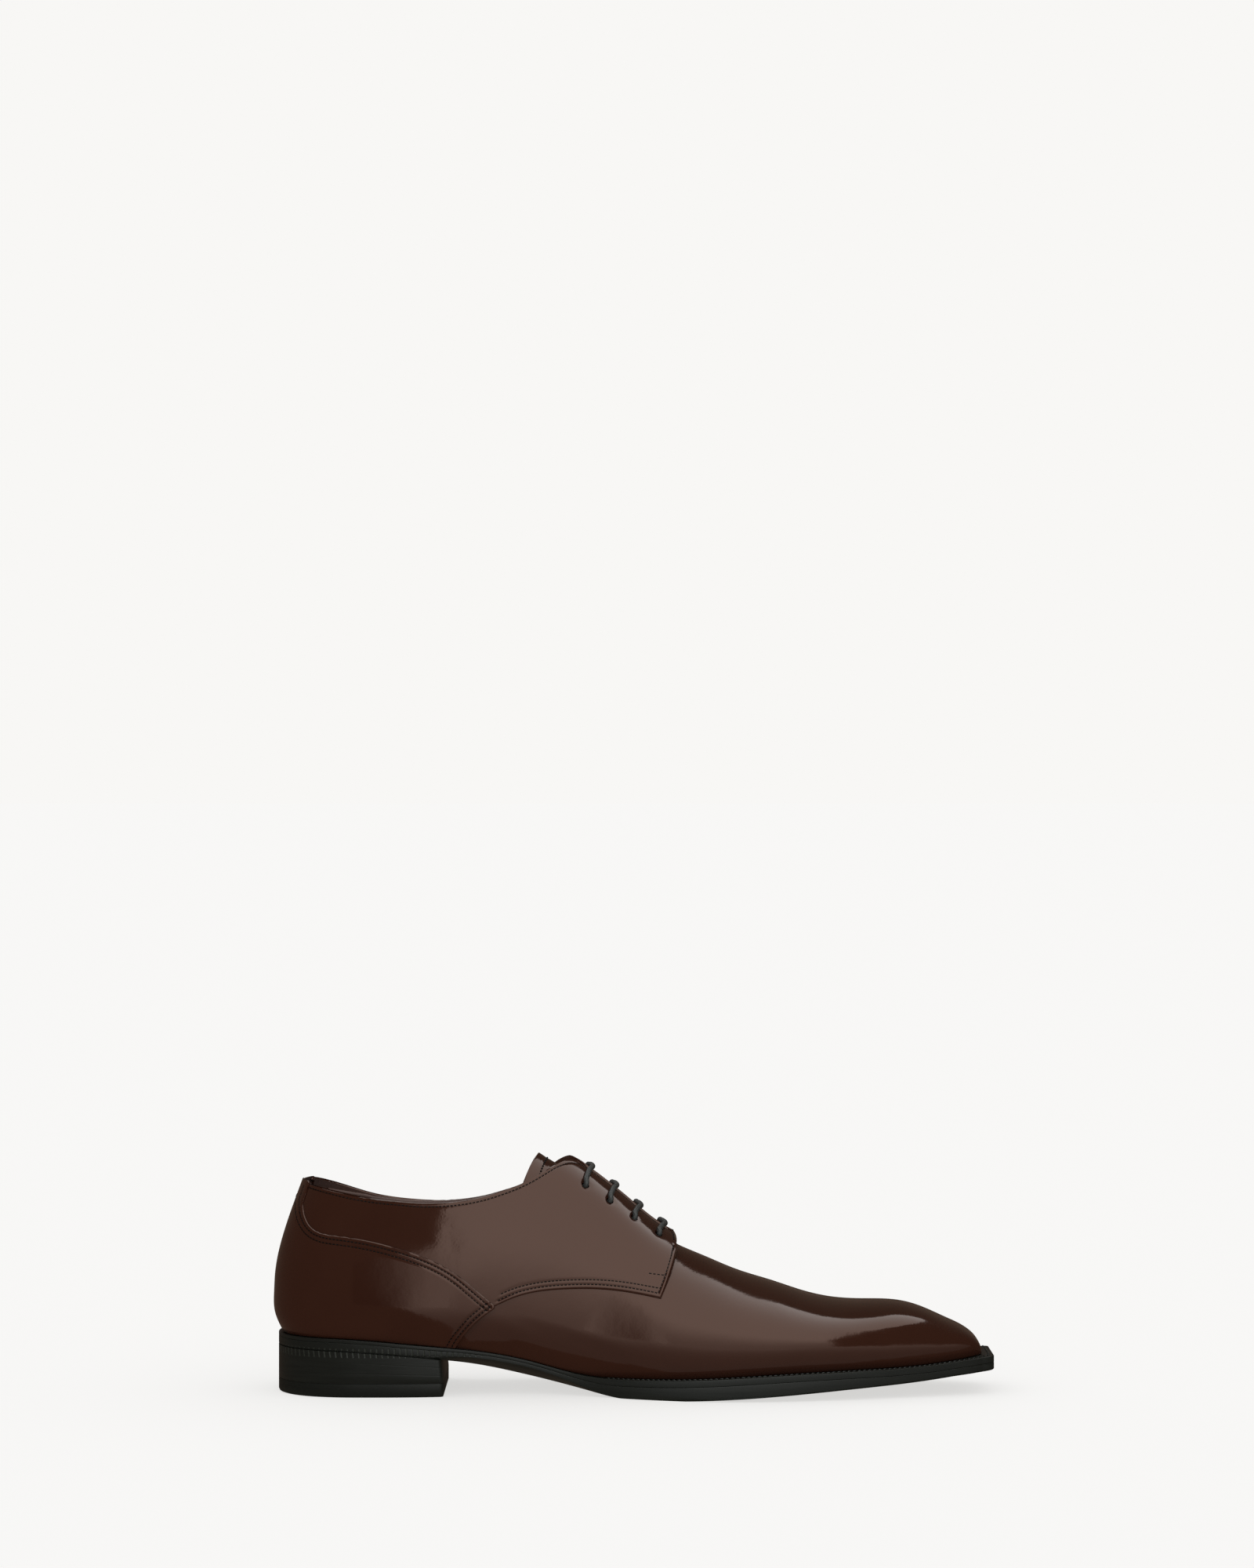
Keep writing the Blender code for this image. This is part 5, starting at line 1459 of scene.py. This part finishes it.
cord, cord_tree, cord_shader = new_material("waxed_cotton_cord")
cord_uv = node(cord_tree, "ShaderNodeUVMap", uv_map="edge")
cord_parts = node(cord_tree, "ShaderNodeSeparateXYZ", {"Vector": cord_uv.outputs["UV"]})
strands = []
for sign in (1.0, -1.0):
    slant = node(cord_tree, "ShaderNodeMath", {0: cord_parts.outputs["X"], 1: sign * 8.0, 2: 0.0},
                 operation="MULTIPLY")
    length_turn = node(cord_tree, "ShaderNodeMath", {0: cord_parts.outputs["Y"], 1: 1 / (1.6 * MM)},
                       operation="MULTIPLY")
    both = node(cord_tree, "ShaderNodeMath", {0: slant.outputs["Value"], 1: length_turn.outputs["Value"]})
    strands.append(node(cord_tree, "ShaderNodeMath", {0: both.outputs["Value"], 1: 0.5},
                        operation="PINGPONG"))
braid = node(cord_tree, "ShaderNodeMath", {0: strands[0].outputs["Value"], 1: strands[1].outputs["Value"]},
             operation="MULTIPLY")
cord_color = node(cord_tree, "ShaderNodeMapRange", {"Value": braid.outputs["Value"], "From Max": 0.25})
cord_mix = node(cord_tree, "ShaderNodeMix", {"Factor": cord_color.outputs["Result"]}, data_type="RGBA")
cord_mix.inputs[6].default_value = srgb("161817")
cord_mix.inputs[7].default_value = srgb("2B302D")
cord_bump = node(cord_tree, "ShaderNodeBump", {
    "Height": braid.outputs["Value"], "Strength": 0.9, "Distance": 0.0004,
})
cord_tree.links.new(cord_mix.outputs["Result"], cord_shader.inputs["Base Color"])
cord_tree.links.new(cord_bump.outputs["Normal"], cord_shader.inputs["Normal"])
cord_shader.inputs["Roughness"].default_value = 0.55


def bar(number, start):
    """A bar's points from one side's eyelet to the other's, over the facings and the tongue."""
    far = THROAT_GAP + EYELET_INSET
    half = {}
    for side in (MEDIAL, LATERAL):
        here, normal, _ = eyelet(side, eyelet_places[number])
        points = [here - 2.2 * normal, here + 0.6 * LACE_RADIUS * normal]
        for share in (0.09, 0.24, 0.5, 0.75, 1.0):
            lean = BAR_LEAN * (share if side < 0 else share**0.6) * EYELET_INSET / far
            points.append(eyelet_point(side, eyelet_places[number] + lean, far - EYELET_INSET * share,
                                       LACE_RADIUS + BAR_OVER))
        half[side] = points
    return half[start] + half[-start][::-1]


def hidden(side, first, last, aside):
    """Points under a facing from one eyelet to another, between facing and tongue."""
    points = []
    for share in (0.18, 0.5, 0.82):
        x = eyelet_places[first] + (eyelet_places[last] - eyelet_places[first]) * share
        points.append(eyelet_point(side, x, THROAT_GAP + EYELET_INSET + aside, -FACING - LACE_RADIUS - 0.1))
    return points


top_end = [eyelet_point(LATERAL, eyelet_places[0] - 1.0, THROAT_GAP + EYELET_INSET + HIDDEN_ASIDE,
                        -FACING - LACE_RADIUS - 0.2)]
lace_path = np.array(
    top_end + hidden(LATERAL, 0, 1, HIDDEN_ASIDE)[1:]
    + bar(1, LATERAL) + hidden(MEDIAL, 1, 3, HIDDEN_ASIDE)
    + bar(3, MEDIAL) + hidden(LATERAL, 3, 2, 0.0)
    + bar(2, LATERAL) + hidden(MEDIAL, 2, 0, -HIDDEN_ASIDE)
    + bar(0, MEDIAL)
)


def smooth_path(points, step):
    """A natural spline through the points, resampled at an even step."""
    run = np.concatenate([[0], np.cumsum(np.linalg.norm(np.diff(points, axis=0), axis=1))])
    dense = np.stack([spline(run, points[:, k], np.linspace(0, run[-1], 4000)) for k in range(3)], axis=-1)
    return fine(dense, step)


def tube(path, radius, turns):
    """A round cord along a path: circles square to it, each frame turned as little as possible from the
    last."""
    ahead = np.gradient(path, axis=0)
    ahead /= np.linalg.norm(ahead, axis=1)[:, None]
    frames = [np.cross(ahead[0], (1.0, 0.0, 0.0))]
    for direction in ahead[1:]:
        carried = frames[-1] - direction * frames[-1].dot(direction)
        frames.append(carried / np.linalg.norm(carried))
    first = np.array(frames)
    first[0] /= np.linalg.norm(first[0])
    second = np.cross(ahead, first)
    turn = np.linspace(0, 2 * math.pi, turns + 1)
    rings = path[:, None] + radius * (
        np.cos(turn)[:, None] * first[:, None] + np.sin(turn)[:, None] * second[:, None]
    )
    run = np.concatenate([[0], np.cumsum(np.linalg.norm(np.diff(path, axis=0), axis=1))]) * MM
    uv = np.stack(np.broadcast_arrays((turn / (2 * math.pi))[None], run[:, None]), axis=-1)
    return rings, uv


lace_rings, lace_uv = tube(smooth_path(lace_path, LACE_STEP), LACE_RADIUS, LACE_TURNS)
first_end, last_end = (
    np.broadcast_to(ring.mean(1, keepdims=True), ring.shape) for ring in (lace_rings[:1], lace_rings[-1:])
)
lace_rings = np.concatenate([first_end, lace_rings, last_end])
lace_uv = np.concatenate([lace_uv[:1], lace_uv, lace_uv[-1:]])
lace_numbers = np.arange(lace_rings.shape[0] * lace_rings.shape[1]).reshape(lace_rings.shape[:2])
piece("lace", lace_rings, quads(lace_numbers), [cord],
      ["lace_bar_%d" % k for k in range(1, EYELETS + 1)], uv=lace_uv, sharp=80)


# Floor and light
# A pale floor that the sky carries on behind it, under even light from the front. White cards stand close
# round the shoe, as in a light tent: the polish shows them with sharp borders and stays dark between
# them.
BACKGROUND = "F8F7F5"
CARD_LIGHT = 2.1
CARD_FOOT = 0.42  # share of that light where the front card meets the floor
FLOOR_FOOT = 0.12  # and beside the shoe


def card(name, corners, axis, full, end, high, low):
    """A glowing card that only reflections see, drawn through its corners. Its light falls smoothly along
    one axis of the room, from a high share at one place to a low share at another."""
    mesh = bpy.data.meshes.new(name)
    mesh.from_pydata((np.array(corners, float) * MM).tolist(), [], [list(range(len(corners)))])
    made, tree, shader = new_material(name)
    place = node(tree, "ShaderNodeTexCoord").outputs["Object"]
    parts = node(tree, "ShaderNodeSeparateXYZ", {"Vector": place})
    glow = node(tree, "ShaderNodeMapRange", {
        "Value": parts.outputs[axis], "From Min": end * MM, "From Max": full * MM,
        "To Min": low * CARD_LIGHT, "To Max": high * CARD_LIGHT,
    })
    glow.interpolation_type = "SMOOTHSTEP"
    shader.inputs["Base Color"].default_value = (0.0, 0.0, 0.0, 1.0)
    shader.inputs["Specular IOR Level"].default_value = 0.0
    shader.inputs["Emission Color"].default_value = (1.0, 1.0, 1.0, 1.0)
    tree.links.new(glow.outputs["Result"], shader.inputs["Emission Strength"])
    mesh.materials.append(made)
    body = bpy.data.objects.new(name, mesh)
    body.visible_camera = body.visible_diffuse = body.visible_shadow = False
    bpy.context.scene.collection.objects.link(body)
    return body


floor_points = np.array([
    (-30000, -9000, 0), (30000, -9000, 0), (30000, 60000, 0), (-30000, 60000, 0),
], float) * MM
floor_mesh = bpy.data.meshes.new("floor")
floor_mesh.from_pydata(floor_points.tolist(), [], [(0, 1, 2, 3)])
paper, _, paper_shader = new_material("pale_paper")
paper_shader.inputs["Base Color"].default_value = (0.5, 0.5, 0.5, 1.0)
paper_shader.inputs["Roughness"].default_value = 1.0
paper_shader.inputs["Specular IOR Level"].default_value = 0.0
paper_shader.inputs["Emission Color"].default_value = srgb(BACKGROUND)
paper_shader.inputs["Emission Strength"].default_value = 0.68
floor_mesh.materials.append(paper)
floor = bpy.data.objects.new("floor", floor_mesh)
floor.visible_glossy = False
bpy.context.scene.collection.objects.link(floor)

bpy.context.scene.view_settings.view_transform = "Standard"
world = bpy.data.worlds.new("studio")
world.use_nodes = True
bpy.context.scene.world = world
sky_tree = world.node_tree
path = node(sky_tree, "ShaderNodeLightPath").outputs
dim = node(sky_tree, "ShaderNodeMix", {"Factor": path["Is Glossy Ray"]}, data_type="RGBA")
dim.inputs[6].default_value, dim.inputs[7].default_value = (0.6, 0.6, 0.6, 1.0), (0.085, 0.06, 0.045, 1.0)
sky = node(sky_tree, "ShaderNodeMix", {"Factor": path["Is Camera Ray"]}, data_type="RGBA")
sky_tree.links.new(dim.outputs["Result"], sky.inputs[6])
sky.inputs[7].default_value = srgb(BACKGROUND)
sky_tree.links.new(sky.outputs["Result"], sky_tree.nodes["Background"].inputs["Color"])

front = bpy.data.objects.new("front_light", bpy.data.lights.new("front_light", "SUN"))
front.data.energy, front.data.angle = 1.1, math.radians(60)
front.rotation_euler = (math.radians(50), 0, 0)
front.visible_glossy = False
bpy.context.scene.collection.objects.link(front)
unlit = bpy.data.collections.new("not_lit_from_the_front")
unlit.objects.link(floor)
unlit.collection_objects[0].light_linking.link_state = "EXCLUDE"
front.light_linking.receiver_collection = unlit

card("front_card", (
    (190, -190, 1), (-78, -190, 1), (-78, -190, 420), (330, -190, 420), (190, -190, 80),
), "Z", 100, 0, 1.0, CARD_FOOT)
card("left_card", (
    (-78, -190, 1), (-135, -190, 1), (-135, -190, 60), (-78, -190, 85),
), "X", -74, -125, 0.7, 0.0)
card("top_card", (
    (-300, -190, 420), (-300, 80, 420), (120, 100, 420), (210, 270, 420), (350, 330, 420),
    (330, -190, 420),
), "Z", 400, 0, 1.0, 1.0)
card("back_card", (
    (-720, 600, 450), (-20, 600, 450), (-20, 600, 1100), (-720, 600, 1100),
), "Z", 700, 450, 1.0, 0.3)
card("floor_card", (
    (260, -190, 1), (-110, -190, 1), (-70, -50, 1), (260, -50, 1),
), "Y", -190, -50, CARD_FOOT, FLOOR_FOOT)
